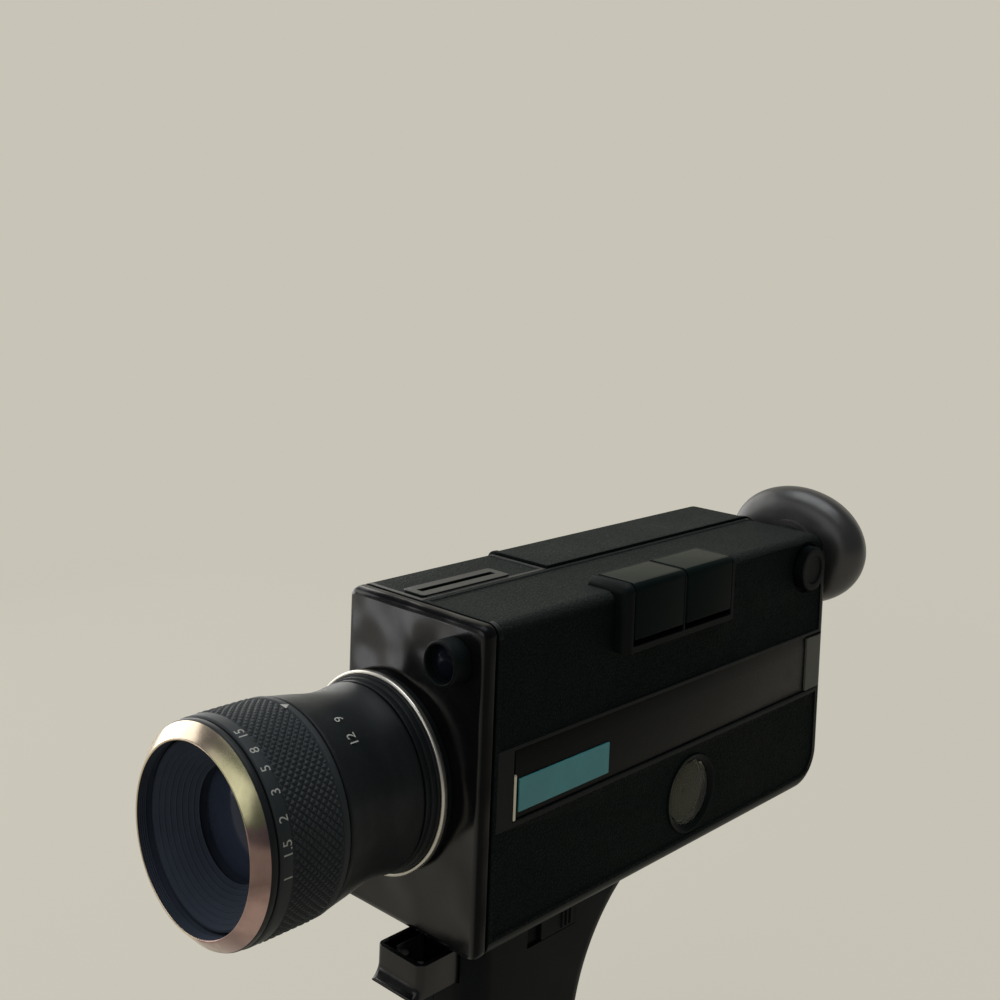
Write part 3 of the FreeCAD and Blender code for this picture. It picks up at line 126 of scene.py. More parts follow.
def filled(work):
    rims = [edge for edge in work.edges if edge.is_boundary]
    bmesh.ops.holes_fill(work, edges=rims, sides=0)
    bmesh.ops.recalc_face_normals(work, faces=work.faces)


def quads_of(index):
    """Quads between the neighbouring points of a grid of point numbers."""
    corners = [index[:-1, :-1], index[1:, :-1], index[1:, 1:], index[:-1, 1:]]
    return np.stack(corners, -1).reshape(-1, 4)


def build_piece(name, patches, materials, node=None, body="camera_body", sharp=SHARP):
    """One object from several grids of points in millimetres.

    Each patch is (points, closed along rows, material number), and its columns always close.
    Neighbouring points make quads; points of one place are merged, so poles and seams close.
    """
    vertices, faces, numbers = [], [], []
    start = 0
    for points, close_rows, number in patches:
        rows, columns = points.shape[:2]
        index = np.arange(rows * columns).reshape(rows, columns) + start
        if close_rows:
            index = np.vstack([index, index[:1]])
        quads = quads_of(np.hstack([index, index[:, :1]]))
        vertices.append(to_frame(points.reshape(-1, 3)))
        faces.append(quads)
        numbers.append(np.full(len(quads), number))
        start += rows * columns
    mesh = bpy.data.meshes.new(name)
    mesh.from_pydata(np.concatenate(vertices).tolist(), [], np.concatenate(faces).tolist())
    mesh.polygons.foreach_set("material_index", np.concatenate(numbers).astype(np.int32))
    rework(mesh, merged_outward)
    return dress(bpy.data.objects.new(name, mesh), materials, node, body, sharp)


def plain_piece(name, grid, material, node=None, body="camera_body", closed=False, sharp=SHARP):
    """A piece from a single grid in one material."""
    return build_piece(name, [(grid, closed, 0)], [material], node, body, sharp)


def dress(piece, materials, node, body, sharp):
    """Links a piece, smooths it up to an angle, gives it its materials and its place in the frame.

    It rides a body and, if a CAD node is named, stands for that node.
    """
    bpy.context.scene.collection.objects.link(piece)
    mesh = piece.data
    mesh.shade_smooth()
    mesh.set_sharp_from_angle(angle=math.radians(sharp))
    # Clearing also resets the material numbers of the faces, so it is left out where none is set.
    if mesh.materials:
        mesh.materials.clear()
    for material in materials:
        mesh.materials.append(material)
    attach(piece, body)
    if node:
        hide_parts(node)
    return piece


def eased(corners, radius, steps=4, closed=True):
    """Rounds the corners of a line of points: each becomes a parabola between its two sides."""
    corners = np.asarray(corners, float)
    sides = []
    for neighbour in (np.roll(corners, 1, 0), np.roll(corners, -1, 0)):
        way = neighbour - corners
        sides.append((way, np.linalg.norm(way, axis=1, keepdims=True)))
    (to_before, reach_before), (to_after, reach_after) = sides
    cut = np.minimum(radius, 0.45 * np.minimum(reach_before, reach_after))
    first = corners + to_before * cut / reach_before
    last = corners + to_after * cut / reach_after
    share = np.linspace(0, 1, steps)[:, None, None]
    curve = (1 - share) ** 2 * first + 2 * share * (1 - share) * corners + share ** 2 * last
    curve = np.swapaxes(curve, 0, 1)
    if not closed:
        curve[0] = corners[0]
        curve[-1] = corners[-1]
    return curve.reshape(-1, corners.shape[1])


def whole_turn(segments):
    return np.linspace(0, 2 * np.pi, segments, endpoint=False)


def around(x, z, radius, turn, along):
    """Points at a radius and turn about the line along y through (x, z)."""
    return np.stack([x + radius * np.cos(turn), along + 0 * turn, z + radius * np.sin(turn)], -1)


def spun(profile, x, z, segments=160):
    """Grid of a profile of (radius, y) turned about the line along y through (x, z)."""
    return around(x, z, profile[:, :1], whole_turn(segments), profile[:, 1:])


def sideways(grid):
    """Swaps x and y, so that what was turned about y is turned about x."""
    return grid[..., [1, 0, 2]]


def ring_piece(name, corners, soft, material, node, body="camera_body", segments=160,
               centre=(LENS_X, LENS_Z)):
    """A turned part: its closed profile of (radius, y) is eased and spun, about the lens or another axis."""
    grid = spun(eased(corners, soft), *centre, segments)
    plain_piece(name, grid, material, node, body, closed=True)


def loop_of(low, high, radius, steps=8):
    """Rounded rectangle between two corners (first, second axis), one quarter circle at each corner."""
    radius = min(radius, *((high - low) / 2 * 0.999))
    centres = np.array([[high[0], high[1]], [low[0], high[1]], [low[0], low[1]], [high[0], low[1]]])
    inward = np.array([[-1, -1], [1, -1], [1, 1], [-1, 1]]) * radius
    turn = np.linspace(0, np.pi / 2, steps)[None, :] + (np.arange(4) * np.pi / 2)[:, None]
    arc = np.stack([np.cos(turn), np.sin(turn)], -1) * radius
    return (centres[:, None] + inward[:, None] + arc).reshape(-1, 2)


def rounded_ends(low, high, soft, far_soft, steps):
    """Pairs of (inset, distance) that carry an outline from low to high with a quarter circle at each end."""
    quarter = np.linspace(0, np.pi / 2, steps)
    near_part = np.stack([soft - soft * np.sin(quarter), low + soft - soft * np.cos(quarter)], -1)
    far_part = np.stack([far_soft - far_soft * np.sin(quarter),
                         high - far_soft + far_soft * np.cos(quarter)], -1)
    return np.concatenate([near_part, far_part[::-1]])


def slab(low, high, radius, soft, axis, far_soft=None):
    """Grid of a flat block with rounded corners: its outline is carried through its thickness.

    The outline shrinks by a quarter circle at each end of the thickness, and then to its middle,
    so the block closes. low and high are its corners, axis is the direction of its thickness.
    """
    low, high = np.asarray(low, float), np.asarray(high, float)
    far_soft = soft if far_soft is None else far_soft
    keep = [i for i in range(3) if i != axis]
    half = (high - low)[keep].min() / 2 * 0.999
    steps = np.concatenate([[[half, low[axis]], [soft + 0.1, low[axis]]],
                            rounded_ends(low[axis], high[axis], soft, far_soft, 5),
                            [[far_soft + 0.1, high[axis]], [half, high[axis]]]])
    loops = []
    for inset, height in steps:
        loop = loop_of(low[keep] + inset, high[keep] - inset, max(radius - inset, 0.02))
        loops.append(np.insert(loop, axis, height, 1))
    return np.array(loops)


def paint_faces(piece, rule):
    """Gives the second material to the faces for which rule(middles, normals) is true."""
    mesh = piece.data
    found = []
    for field in ("center", "normal"):
        values = np.empty(len(mesh.polygons) * 3)
        mesh.polygons.foreach_get(field, values)
        found.append(values.reshape(-1, 3))
    chosen = rule(from_frame(found[0]), found[1])
    mesh.polygons.foreach_set("material_index", chosen.astype(np.int32))


def finished_copy(node, materials, edge, rule=None, body="camera_body", sharp=30):
    """Merged copy of a CAD node with its flat faces made whole and its edges softened."""
    mesh = NODES[node].data.copy()
    mesh.name = node + "_finished"
    rework(mesh, made_whole)
    piece = dress(bpy.data.objects.new(node + "_finished", mesh), materials, node, body, sharp)
    if rule is not None:
        paint_faces(piece, rule)
    if edge:
        bevel = piece.modifiers.new("soft edges", "BEVEL")
        bevel.width = edge * MM
        bevel.segments = 2
        bevel.limit_method = "ANGLE"
        bevel.angle_limit = math.radians(sharp)
        bevel.use_clamp_overlap = False
        bevel.harden_normals = True
    return piece


# Shader nodes, and the effects that several materials share

def colour(tint, share=1.0):
    """A tint as a shader colour, made lighter or darker by a share."""
    return (*(np.array(tint)[:3] * share), 1.0)


class Nodes:
    """Adds shader nodes to one tree. The short methods return the new node's output."""

    def __init__(self, tree):
        self.tree = tree

    def feed(self, socket, value):
        """A value that is a socket is linked, anything else is set."""
        if isinstance(value, bpy.types.NodeSocket):
            self.tree.links.new(value, socket)
        else:
            socket.default_value = value

    def add(self, kind, settings=None, **inputs):
        """Adds a node; an input is named by its name or by _ and its number."""
        made = self.tree.nodes.new(kind)
        for name, value in (settings or {}).items():
            setattr(made, name, value)
        for name, value in inputs.items():
            self.feed(made.inputs[int(name[1:]) if name[0] == "_" else name.replace("_", " ")], value)
        return made

    def maths(self, operation, first, second=0.0):
        return self.add("ShaderNodeMath", {"operation": operation}, _0=first, _1=second).outputs[0]

    def times(self, first, second):
        return self.maths("MULTIPLY", first, second)

    def plus(self, first, second):
        return self.maths("ADD", first, second)

    def remap(self, value, low, high, out_low=0.0, out_high=1.0):
        return self.add("ShaderNodeMapRange", {"clamp": True}, _0=value, _1=low, _2=high, _3=out_low,
                        _4=out_high).outputs[0]

    def noise(self, scale, detail=3.0, rough=0.5, at=None):
        """Noise at the tree's own place or another, with its scale in waves per metre."""
        made = self.add("ShaderNodeTexNoise", Vector=self.place if at is None else at, Scale=scale,
                        Detail=detail, Roughness=rough)
        return made.outputs[0]

    def blended(self, share, first, second):
        """Colour between two colours by a share."""
        return self.add("ShaderNodeMix", {"data_type": "RGBA"}, _0=share, _6=first, _7=second).outputs[2]


class Effect(Nodes):
    """Node group with a Vector and float inputs {name: default}, and with float outputs."""

    def __init__(self, name, inputs, outputs):
        super().__init__(bpy.data.node_groups.new(name, "ShaderNodeTree"))
        interface = self.tree.interface
        interface.new_socket("Vector", in_out="INPUT", socket_type="NodeSocketVector")
        for socket, default in inputs.items():
            made = interface.new_socket(socket, in_out="INPUT", socket_type="NodeSocketFloat")
            made.default_value = default
        for socket in outputs:
            interface.new_socket(socket, in_out="OUTPUT", socket_type="NodeSocketFloat")
        self.given = self.tree.nodes.new("NodeGroupInput").outputs
        self.gives = self.tree.nodes.new("NodeGroupOutput").inputs
        self.place = self.given["Vector"]

    def give(self, **results):
        for name, value in results.items():
            self.feed(self.gives[name], value)
        return self.tree


def leatherette_group():
    """Moulded leather grain: rounded pebbles with creases between them, bent by a slow noise."""
    grain = Effect("Leatherette grain", {"Pebble": 1.1}, ["Height", "Crease"])
    warp = grain.add("ShaderNodeTexNoise", Vector=grain.place, Scale=420.0, Detail=2.0)
    bent = grain.add("ShaderNodeVectorMath", {"operation": "SCALE"}, _0=warp.outputs[1], Scale=0.0011)
    place = grain.add("ShaderNodeVectorMath", {"operation": "ADD"}, _0=grain.place, _1=bent.outputs[0])
    per_metre = grain.maths("DIVIDE", 1000.0, grain.given["Pebble"])
    pebbles = grain.add("ShaderNodeTexVoronoi", {"feature": "DISTANCE_TO_EDGE"}, Vector=place.outputs[0],
                        Scale=per_metre).outputs["Distance"]
    swell = grain.remap(grain.noise(260.0, 2.0), 0.3, 0.7, 0.55, 1.0)
    height = grain.plus(grain.times(grain.remap(pebbles, 0.0, 0.28), swell),
                        grain.times(grain.noise(3600.0, 2.0), 0.22))
    return grain.give(Height=height, Crease=grain.remap(pebbles, 0.0, 0.09, 1.0, 0.0))


def handling_group():
    """Marks of use: faint smears, fine dust and a few light specks."""
    marks = Effect("Handling marks", {"Speck": 0.5}, ["Smear", "Dust", "Specks"])
    slow = marks.noise(55.0, 4.0, 0.6)
    fine = marks.noise(1500.0, 3.0, 0.7)
    cells = marks.add("ShaderNodeTexVoronoi", Vector=marks.place, Scale=260.0).outputs
    chance = marks.add("ShaderNodeSeparateColor", _0=cells["Color"]).outputs[0]
    spots = marks.maths("LESS_THAN", cells["Distance"], marks.times(marks.given["Speck"], 0.05))
    return marks.give(Smear=marks.remap(slow, 0.35, 0.7),
                      Dust=marks.times(marks.remap(fine, 0.55, 0.85), marks.remap(slow, 0.3, 0.75)),
                      Specks=marks.times(spots, marks.remap(chance, 0.93, 0.94)))


def turned_metal_group():
    """Lathe lines round the lens axis: noise that only changes with the distance along and from it.

    Turn is the share of a whole turn from the operator's left, half a turn each way.
    """
    lathe = Effect("Turned metal", {"Lines": 9000.0}, ["Height", "Streak", "Turn"])
    axis = to_frame((LENS_X, 0, LENS_Z))
    parts = lathe.add("ShaderNodeSeparateXYZ", _0=lathe.place).outputs
    across = lathe.maths("SUBTRACT", parts[0], float(axis[0]))
    up = lathe.maths("SUBTRACT", parts[2], float(axis[2]))
    out = lathe.maths("SQRT", lathe.plus(lathe.times(across, across), lathe.times(up, up)))
    turn = lathe.maths("ARCTAN2", up, across)
    spot = lathe.add("ShaderNodeCombineXYZ", _0=out, _1=parts[1], _2=lathe.times(turn, 0.0004)).outputs[0]
    broad = lathe.add("ShaderNodeCombineXYZ", _0=lathe.times(out, 0.2), _1=parts[1],
                      _2=lathe.times(turn, 0.012)).outputs[0]
    return lathe.give(Height=lathe.noise(lathe.given["Lines"], 2.0, 0.6, spot),
                      Streak=lathe.remap(lathe.noise(160.0, 3.0, at=broad), 0.3, 0.7),
                      Turn=lathe.times(turn, 1 / (2 * math.pi)))


GROUPS = {
    "grain": leatherette_group(),
    "marks": handling_group(),
    "turned": turned_metal_group(),
}


class Finish(Nodes):
    """A material: its Principled shader, the place of a point and, if speck is given, its marks of use.

    Constants are values on the shader's own sockets.
    """

    def __init__(self, name, speck=None, **constants):
        self.material = bpy.data.materials.new(name)
        self.material.use_nodes = True
        super().__init__(self.material.node_tree)
        self.shader = self.tree.nodes["Principled BSDF"]
        for socket, value in constants.items():
            self.shader.inputs[socket.replace("_", " ")].default_value = value
        self.coordinates = self.tree.nodes.new("ShaderNodeTexCoord").outputs
        self.place = self.coordinates["Object"]
        if speck is not None:
            self.marks = self.group("marks", Speck=speck)

    def group(self, key, **values):
        """Puts a shared effect on the material and returns its outputs."""
        made = self.tree.nodes.new("ShaderNodeGroup")
        made.node_tree = GROUPS[key]
        self.tree.links.new(self.place, made.inputs["Vector"])
        for name, value in values.items():
            made.inputs[name].default_value = value
        return made.outputs

    def facing(self, axis, low, high, out_low=0.0, out_high=1.0):
        """Value by how far a surface looks along an axis of the frame: 1 along it, 0 square to it."""
        looks = self.add("ShaderNodeSeparateXYZ", _0=self.coordinates["Normal"]).outputs[axis]
        return self.remap(looks, low, high, out_low, out_high)

    def dusted(self, base, share, tint):
        return self.blended(self.times(self.marks["Dust"], share), base, tint)

    def smeared(self, low, high):
        """Value that runs from low to high with the smears."""
        return self.remap(self.marks["Smear"], 0.0, 1.0, low, high)

    def done(self, base, rough, height=None, deep_mm=1.0):
        """Gives the shader its colour, roughness and relief, and returns the material."""
        self.feed(self.shader.inputs["Base Color"], base)
        self.feed(self.shader.inputs["Roughness"], rough)
        if height is not None:
            bump = self.add("ShaderNodeBump", Height=height, Distance=deep_mm * MM, Strength=1.0)
            self.feed(self.shader.inputs["Normal"], bump.outputs[0])
        return self.material


# Finishes

def leatherette(tint):
    """Black moulded leatherette: creases darkened as painted shade and duller, fine dust, and faces that look
    up painted lighter as painted light from above.
    """
    skin = Finish("leatherette", 0.7, Specular_IOR_Level=0.03)
    grain = skin.group("grain", Pebble=1.0)
    # Painted light: faces that look up are blended to a lighter colour, as lit from above; the tint itself is
    # the painted shaded colour of the sides.
    base = skin.blended(skin.facing(2, 0.2, 0.95), colour(tint), (0.017, 0.020, 0.0185, 1))
    # Painted shade: the creases between the pebbles are darkened towards black.
    base = skin.blended(skin.times(grain["Crease"], 0.55), base, (0, 0, 0, 1))
    base = skin.dusted(base, 0.12, (0.06, 0.065, 0.062, 1))
    base = skin.blended(skin.marks["Specks"], base, (0.3, 0.3, 0.28, 1))
    dull = skin.remap(grain["Height"], 0.2, 1.1, 0.62, 0.46)
    return skin.done(base, skin.plus(dull, skin.times(skin.marks["Smear"], 0.08)), grain["Height"], 0.17)


def plastic(name, tint, rough, grit_mm=0.006, ripple_mm=0.0, worn=(0.05, 0.05, 0.048), specular=0.11,
            shine=None):
    """Moulded plastic: fine grit, a slow ripple left by the mould, smears and dust.

    shine is (axis, low, high, level): faces that look along the axis mirror at another level.
    """
    skin = Finish(name, 0.4, Specular_IOR_Level=specular)
    tone = skin.blended(skin.marks["Smear"], colour(tint), colour(tint, 1.25))
    base = skin.dusted(tone, 0.18, colour(worn))
    base = skin.blended(skin.times(skin.marks["Specks"], 0.8), base, (0.35, 0.35, 0.33, 1))
    rougher = skin.plus(skin.smeared(rough - 0.03, rough + 0.05), skin.times(skin.marks["Dust"], 0.25))
    grit = skin.times(skin.noise(4200.0, 2.0), grit_mm)
    ripple = skin.times(skin.noise(42.0, 1.0), ripple_mm)
    if shine:
        axis, low, high, level = shine
        skin.feed(skin.shader.inputs["Specular IOR Level"], skin.facing(axis, low, high, specular, level))
    return skin.done(base, rougher, skin.plus(grit, ripple))


def metal(name, tint, rough, line_mm=0.0015):
    """Turned metal: lathe lines and dull spots."""
    skin = Finish(name, 0.6, Metallic=1.0)
    turned = skin.group("turned", Lines=9000.0)
    base = skin.dusted(colour(tint), 0.5, colour(tint, 0.35))
    rougher = skin.plus(skin.smeared(rough - 0.04, rough + 0.07), skin.times(skin.marks["Dust"], 0.3))
    return skin.done(base, rougher, turned["Height"], line_mm)


def champagne(tint, blush):
    """Thin scratched gilt film on the bezel: straw above, and rose below on the operator's left, with painted
    highlights and painted shade set by the turn round the ring.
    """
    skin = Finish("champagne", 0.6, Metallic=1.0)
    turned = skin.group("turned", Lines=7000.0)
    patchy = skin.remap(skin.noise(110.0, 4.0), 0.3, 0.7, -0.03, 0.03)
    film = skin.add("ShaderNodeValToRGB", _0=skin.plus(skin.plus(turned["Turn"], patchy), 0.5))
    tint, blush = np.array(tint), np.array(blush)
    straw = tint * (1.0, 1.14, 0.9)
    # Each tint's place round the bezel: the share of a turn from the operator's right by way of the foot. The
    # brightest and darkest stops are painted highlights and painted shade; the straw and rose are the film's
    # own tints.
    tints_and_painted_light = [(0.05, tint * 1.5), (0.25, tint * 1.9), (0.31, blush), (0.37, blush * 0.72), (0.42, blush * 1.2),
             (0.5, blush * 0.5), (0.55, blush * 0.8), (0.57, straw * 0.7), (0.625, straw * 1.2),
             (0.67, straw * 0.9), (0.72, tint), (0.8, tint * 1.5)]
    ramp = film.color_ramp.elements
    ramp[0].position, ramp[1].position = tints_and_painted_light[0][0], tints_and_painted_light[-1][0]
    for position, _ in tints_and_painted_light[1:-1]:
        ramp.new(position)
    for element, (_, tone) in zip(ramp, tints_and_painted_light):
        element.color = colour(tone)
    scratch = skin.noise(900.0, 5.0, 0.75)
    worn = skin.times(skin.remap(scratch, 0.6, 0.72), skin.remap(turned["Turn"], -0.12, -0.2, 0.15, 1.0))
    base = skin.blended(skin.times(worn, 0.8), film.outputs[0], colour(tint, 0.25))
    base = skin.dusted(base, 0.4, colour(tint, 0.35))
    rougher = skin.plus(skin.smeared(0.2, 0.3), skin.times(worn, 0.2))
    return skin.done(base, rougher, skin.plus(turned["Height"], skin.times(scratch, 1.5)), 0.003)


def anodised(name, tint, rough):
    """Black anodised ring: a dull dark metal with lathe lines under a thin clear film."""
    skin = Finish(name, 0.5, Specular_IOR_Level=0.12, Coat_Roughness=0.2)
    turned = skin.group("turned", Lines=5200.0)
    base = skin.blended(turned["Streak"], colour(tint), colour(tint, 1.35))
    base = skin.dusted(base, 0.2, (0.12, 0.12, 0.125, 1))
    skin.feed(skin.shader.inputs["Coat Weight"], skin.remap(turned["Streak"], 0.0, 1.0, 0.0, 0.07))
    return skin.done(base, skin.smeared(rough - 0.04, rough + 0.06), turned["Height"], 0.002)


def rubber(name, tint):
    """Soft satin rubber: very fine texture, cloudy wear."""
    skin = Finish(name, 0.5, Specular_IOR_Level=0.6)
    base = skin.blended(skin.marks["Smear"], colour(tint), colour(tint, 1.45))
    base = skin.dusted(base, 0.3, (0.16, 0.155, 0.16, 1))
    cloud = skin.times(skin.noise(90.0, 2.0), 0.3)
    fine = skin.times(skin.noise(2600.0, 3.0), 0.012)
    return skin.done(base, skin.smeared(0.34, 0.46), skin.plus(cloud, fine))


def glass(name, tint, rough=0.02, ior=1.5):
    """Clear glass with faint smears."""
    skin = Finish(name, 0.5, Transmission_Weight=1.0, IOR=ior, Specular_IOR_Level=0.2)
    base = skin.blended(skin.times(skin.marks["Smear"], 0.3), colour(tint), colour(tint, 0.93))
    return skin.done(base, skin.smeared(rough, rough + 0.06))


def coated_glass(name, depth, mirror):
    """Glass drawn as an opaque dark pool: a deep blue base, painted shade that stands for the dark inside
    seen through it, which mirrors little, as a bloomed lens does.
    """
    skin = Finish(name, 0.4, Specular_IOR_Level=mirror, Specular_Tint=(0.7, 0.75, 1.0, 1.0))
    # Painted shade: the glass is not clear; its dark blue base stands for the shade inside behind it.
    pool = np.array((0.016, 0.020, 0.032)) * depth
    base = skin.blended(skin.marks["Smear"], colour(pool), colour(pool, 1.3))
    return skin.done(skin.dusted(base, 0.12, colour(pool, 8)), skin.smeared(0.05, 0.16))


def print_ink(name, tint):
    """Printed marks, worn a little so that they aren't even."""
    skin = Finish(name, 0.3)
    wear = skin.plus(skin.times(skin.noise(2500.0, 3.0), 0.5), skin.times(skin.marks["Smear"], 0.15))
    return skin.done(skin.blended(wear, colour(tint), colour(tint, 0.5)), skin.smeared(0.45, 0.6))


# Sizes and colours that a user would change

def shade(name, text, default):
    return bpy.props.FloatVectorProperty(name=name, description=text, subtype="COLOR", size=3,
                                         default=default, min=0, max=1)


def amount(name, text, default, low, high, unit="NONE"):
    return bpy.props.FloatProperty(name=name, description=text, default=default, min=low, max=high, unit=unit)


def number(name, text, default, low, high):
    return bpy.props.IntProperty(name=name, description=text, default=default, min=low, max=high)


class CASE_settings(bpy.types.PropertyGroup):
    leather: shade("Leatherette", "Colour of the grained casings", (0.0036, 0.0068, 0.0064))
    smooth: shade("Smooth plastic", "Colour of borders, grip and housings", (0.0040, 0.0056, 0.0056))
    gloss: shade("Glossy plastic", "Colour of the front plate and trigger", (0.0030, 0.0030, 0.0036))
    badge: shade("Badge", "Colour of the small bare plate on the strip", (0.048, 0.215, 0.232))
    # The button colour goes on their flat tops only, as a painted lit colour; their sides take the
    # leatherette colour as painted shade.
    caps: shade("Button caps", "Colour of the two zoom buttons", (0.017, 0.020, 0.0155))
    edge: amount("Edge softness", "Width of the rounding on moulded edges, in millimetres", 0.22, 0.0, 0.5)
    knob_ridges: number("Knob ridges", "Ridges round the dioptre knob", 36, 12, 60)


class LENS_settings(bpy.types.PropertyGroup):
    black: shade("Anodised black", "Colour of the lens rings", (0.0062, 0.0078, 0.0086))
    bezel: shade("Bezel", "Colour of the bright front cone", (0.40, 0.33, 0.25))
    bezel_blush: shade("Bezel blush", "Second tint of the bright front cone", (0.36, 0.24, 0.22))
    trim: shade("Trim ring", "Colour of the ring at the front plate", (0.50, 0.48, 0.43))
    pyramids: number("Pyramids round", "Knurled pyramids round the focus ring", 80, 40, 110)
    pyramid_rows: number("Pyramid rows", "Rows of pyramids along the focus ring", 7, 4, 10)
    knurl_deep: amount("Knurl depth", "Height of the pyramids, in millimetres", 0.5, 0.2, 1.2)


class STAGE_settings(bpy.types.PropertyGroup):
    backdrop: shade("Backdrop", "Colour of the floor and backdrop", (0.578, 0.552, 0.474))
    room: amount("Room", "Strength of the plain grey room", 0.3, 0, 2)
    top_light: amount("Top light", "Power of the large light above", 6.5, 0, 100, "POWER")
    side_light: amount("Side light", "Power of the wide light beside the lens", 3.5, 0, 100, "POWER")
    lens_light: amount("Lens light", "Power of the soft light in front of the lens", 0.8, 0, 100, "POWER")
    low_light: amount("Low light", "Power of the light that the front plate mirrors", 0.07, 0, 10, "POWER")
    lens: amount("Focal length", "Focal length of the view, in millimetres", 49.43, 20, 200)


# The lens, turned about one axis. Profiles are pairs of (radius, y), and y falls towards the front.

FOCUS_LOW, FOCUS_HIGH = span("focus_ring")
FOCUS_RADIUS = radius_of("focus_ring")
BEZEL_FRONT = span("front_bezel")[0][1]
# Radii of the filter thread, of the barrel's inner tube, of its wide front and of the zoom ring's waist
FILTER_RADIUS = 23.8
CORE = 16.0
THROAT = 21.3
NECK = 25.2
# Wall of the wide front, and the gap between parts that move on each other
WALL = 1.7
CLEAR = 0.06
# Places along the lens: the wide front begins and ends, and the focus ring widens inside
WIDE_START, WIDE_END, SKIRT_START = -36.6, -53.2, -50


def knurled_ring(settings):
    """Focus ring: smooth lands at both ends, and pyramids between two crossing sets of grooves.

    A groove runs where turn x count + distance / pitch is whole, and another where their
    difference is whole. The height is the smaller distance to the two, cut off flat near the top.
    """
    pyramids, rows, deep = settings.pyramids, settings.pyramid_rows, settings.knurl_deep
    land, floor = FOCUS_RADIUS - 0.15, FOCUS_RADIUS - deep
    skirt = FILTER_RADIUS + 0.4
    first, last = FOCUS_LOW[1] + 3.9, FOCUS_HIGH[1] - 2.3
    segments = pyramids * 8
    turn = whole_turn(segments)[None, :]
    along = np.linspace(0, 1, rows * 8 + 1)[:, None]
    share = turn * pyramids / (2 * np.pi)
    to_grooves = [np.abs(line - np.round(line)) for line in (share + along * rows, share - along * rows)]
    height = np.clip(np.minimum(*to_grooves) * 3, 0, 1)
    run_out = np.clip(np.minimum(along, 1 - along) * 40, 0, 1)
    band = around(LENS_X, LENS_Z, floor + deep * height * run_out, turn, first + (last - first) * along)
    corners = [(floor, last), (floor, last + 0.05), (land, last + 0.35), (land, FOCUS_HIGH[1] - 0.5),
               (land - 0.4, FOCUS_HIGH[1]), (THROAT + 1.4, FOCUS_HIGH[1]),
               (THROAT + CLEAR, FOCUS_HIGH[1] - 1.8), (THROAT + CLEAR, SKIRT_START + 1), (skirt, SKIRT_START),
               (skirt, FOCUS_LOW[1]), (FOCUS_RADIUS - 0.6, FOCUS_LOW[1]), (land, FOCUS_LOW[1] + 0.5),
               (land, first - 0.35), (floor, first - 0.05), (floor, first)]
    rest = spun(eased(corners, 0.2, 3, closed=False), LENS_X, LENS_Z, segments)
    black = plastic("knurled black", np.array(settings.black) * 2.2, 0.55, specular=0.2)
    build_piece("focus_ring_knurled", [(band, False, 0), (rest, False, 0)], [black],
                "focus_ring", "focus_ring", sharp=28)


def lens_pieces(settings):
    """Turned rings of the lens from the front plate to the bezel."""
    black = anodised("anodised black", settings.black, 0.46)
    silver = metal("trim silver", settings.trim, 0.34)
    foot = radius_of("trim_ring")
    # The relay tube's bore and outside, and the bore of the middle tube
    relay_bore, relay, tube = 6.5, 9, 13.2
    ring_piece("lens_foot", [
        (relay_bore, 16), (relay, 16), (relay, 3.9), (CORE, 3.9), (CORE, -1.5), (foot - 3.7, -1.5),
        (foot - 3.7, -8.4), (foot - 2, -8.4), (foot - 2, -6.9), (foot - 2.3, -6.7), (foot - 1.5, -6.5),
        (foot - 1.5, -5.2), (foot - 1.8, -5), (foot - 1, -4.8), (foot - 1, 0), (CORE + 1.5, 0),
        (CORE + 1.5, -0.8), (CORE, -0.8), (CORE, WIDE_START), (THROAT, WIDE_START), (THROAT, WIDE_END),
        (THROAT - WALL, WIDE_END), (THROAT - WALL, -40), (tube, -40), (tube, -1.5), (relay_bore, -1.5)],
        0.15, black, "lens_barrel")
    ring_piece("trim_ring_bright", [
        (foot - 1, -2.6), (foot, -2.6), (foot, -4), (foot - 0.4, -4.4), (foot - 1, -4.4)],
        0.3, silver, "trim_ring", segments=200)
    ring_piece("zoom_ring_waisted", [
        (foot - 4.7, -8.8), (foot - 1.9, -8.8), (NECK + 0.5, -11), (NECK + 0.1, -14), (NECK, -18),
        (NECK + 0.5, -22.5), (NECK + 1.6, -28), (NECK + 2.3, -32.5), (NECK + 2.8, -35.3), (NECK + 2.4, -35.8),
        (NECK - 0.4, -35.8), (NECK - 1.4, -31), (CORE + CLEAR, -31), (CORE + CLEAR, -26), (foot - 4.7, -25)],
        2.6, black, "zoom_ring", "zoom_ring", 220)
    knurled_ring(settings)
    # Painted light: the black inside the lens is made lighter and bluer, as a painted blue haze in the dim
    # bore.
    dull = plastic("lens black", (0.031, 0.038, 0.053), 0.75, specular=0.04)
    bezel_piece(champagne(settings.bezel, settings.bezel_blush), dull, black)
    front_cell_pieces(dull)


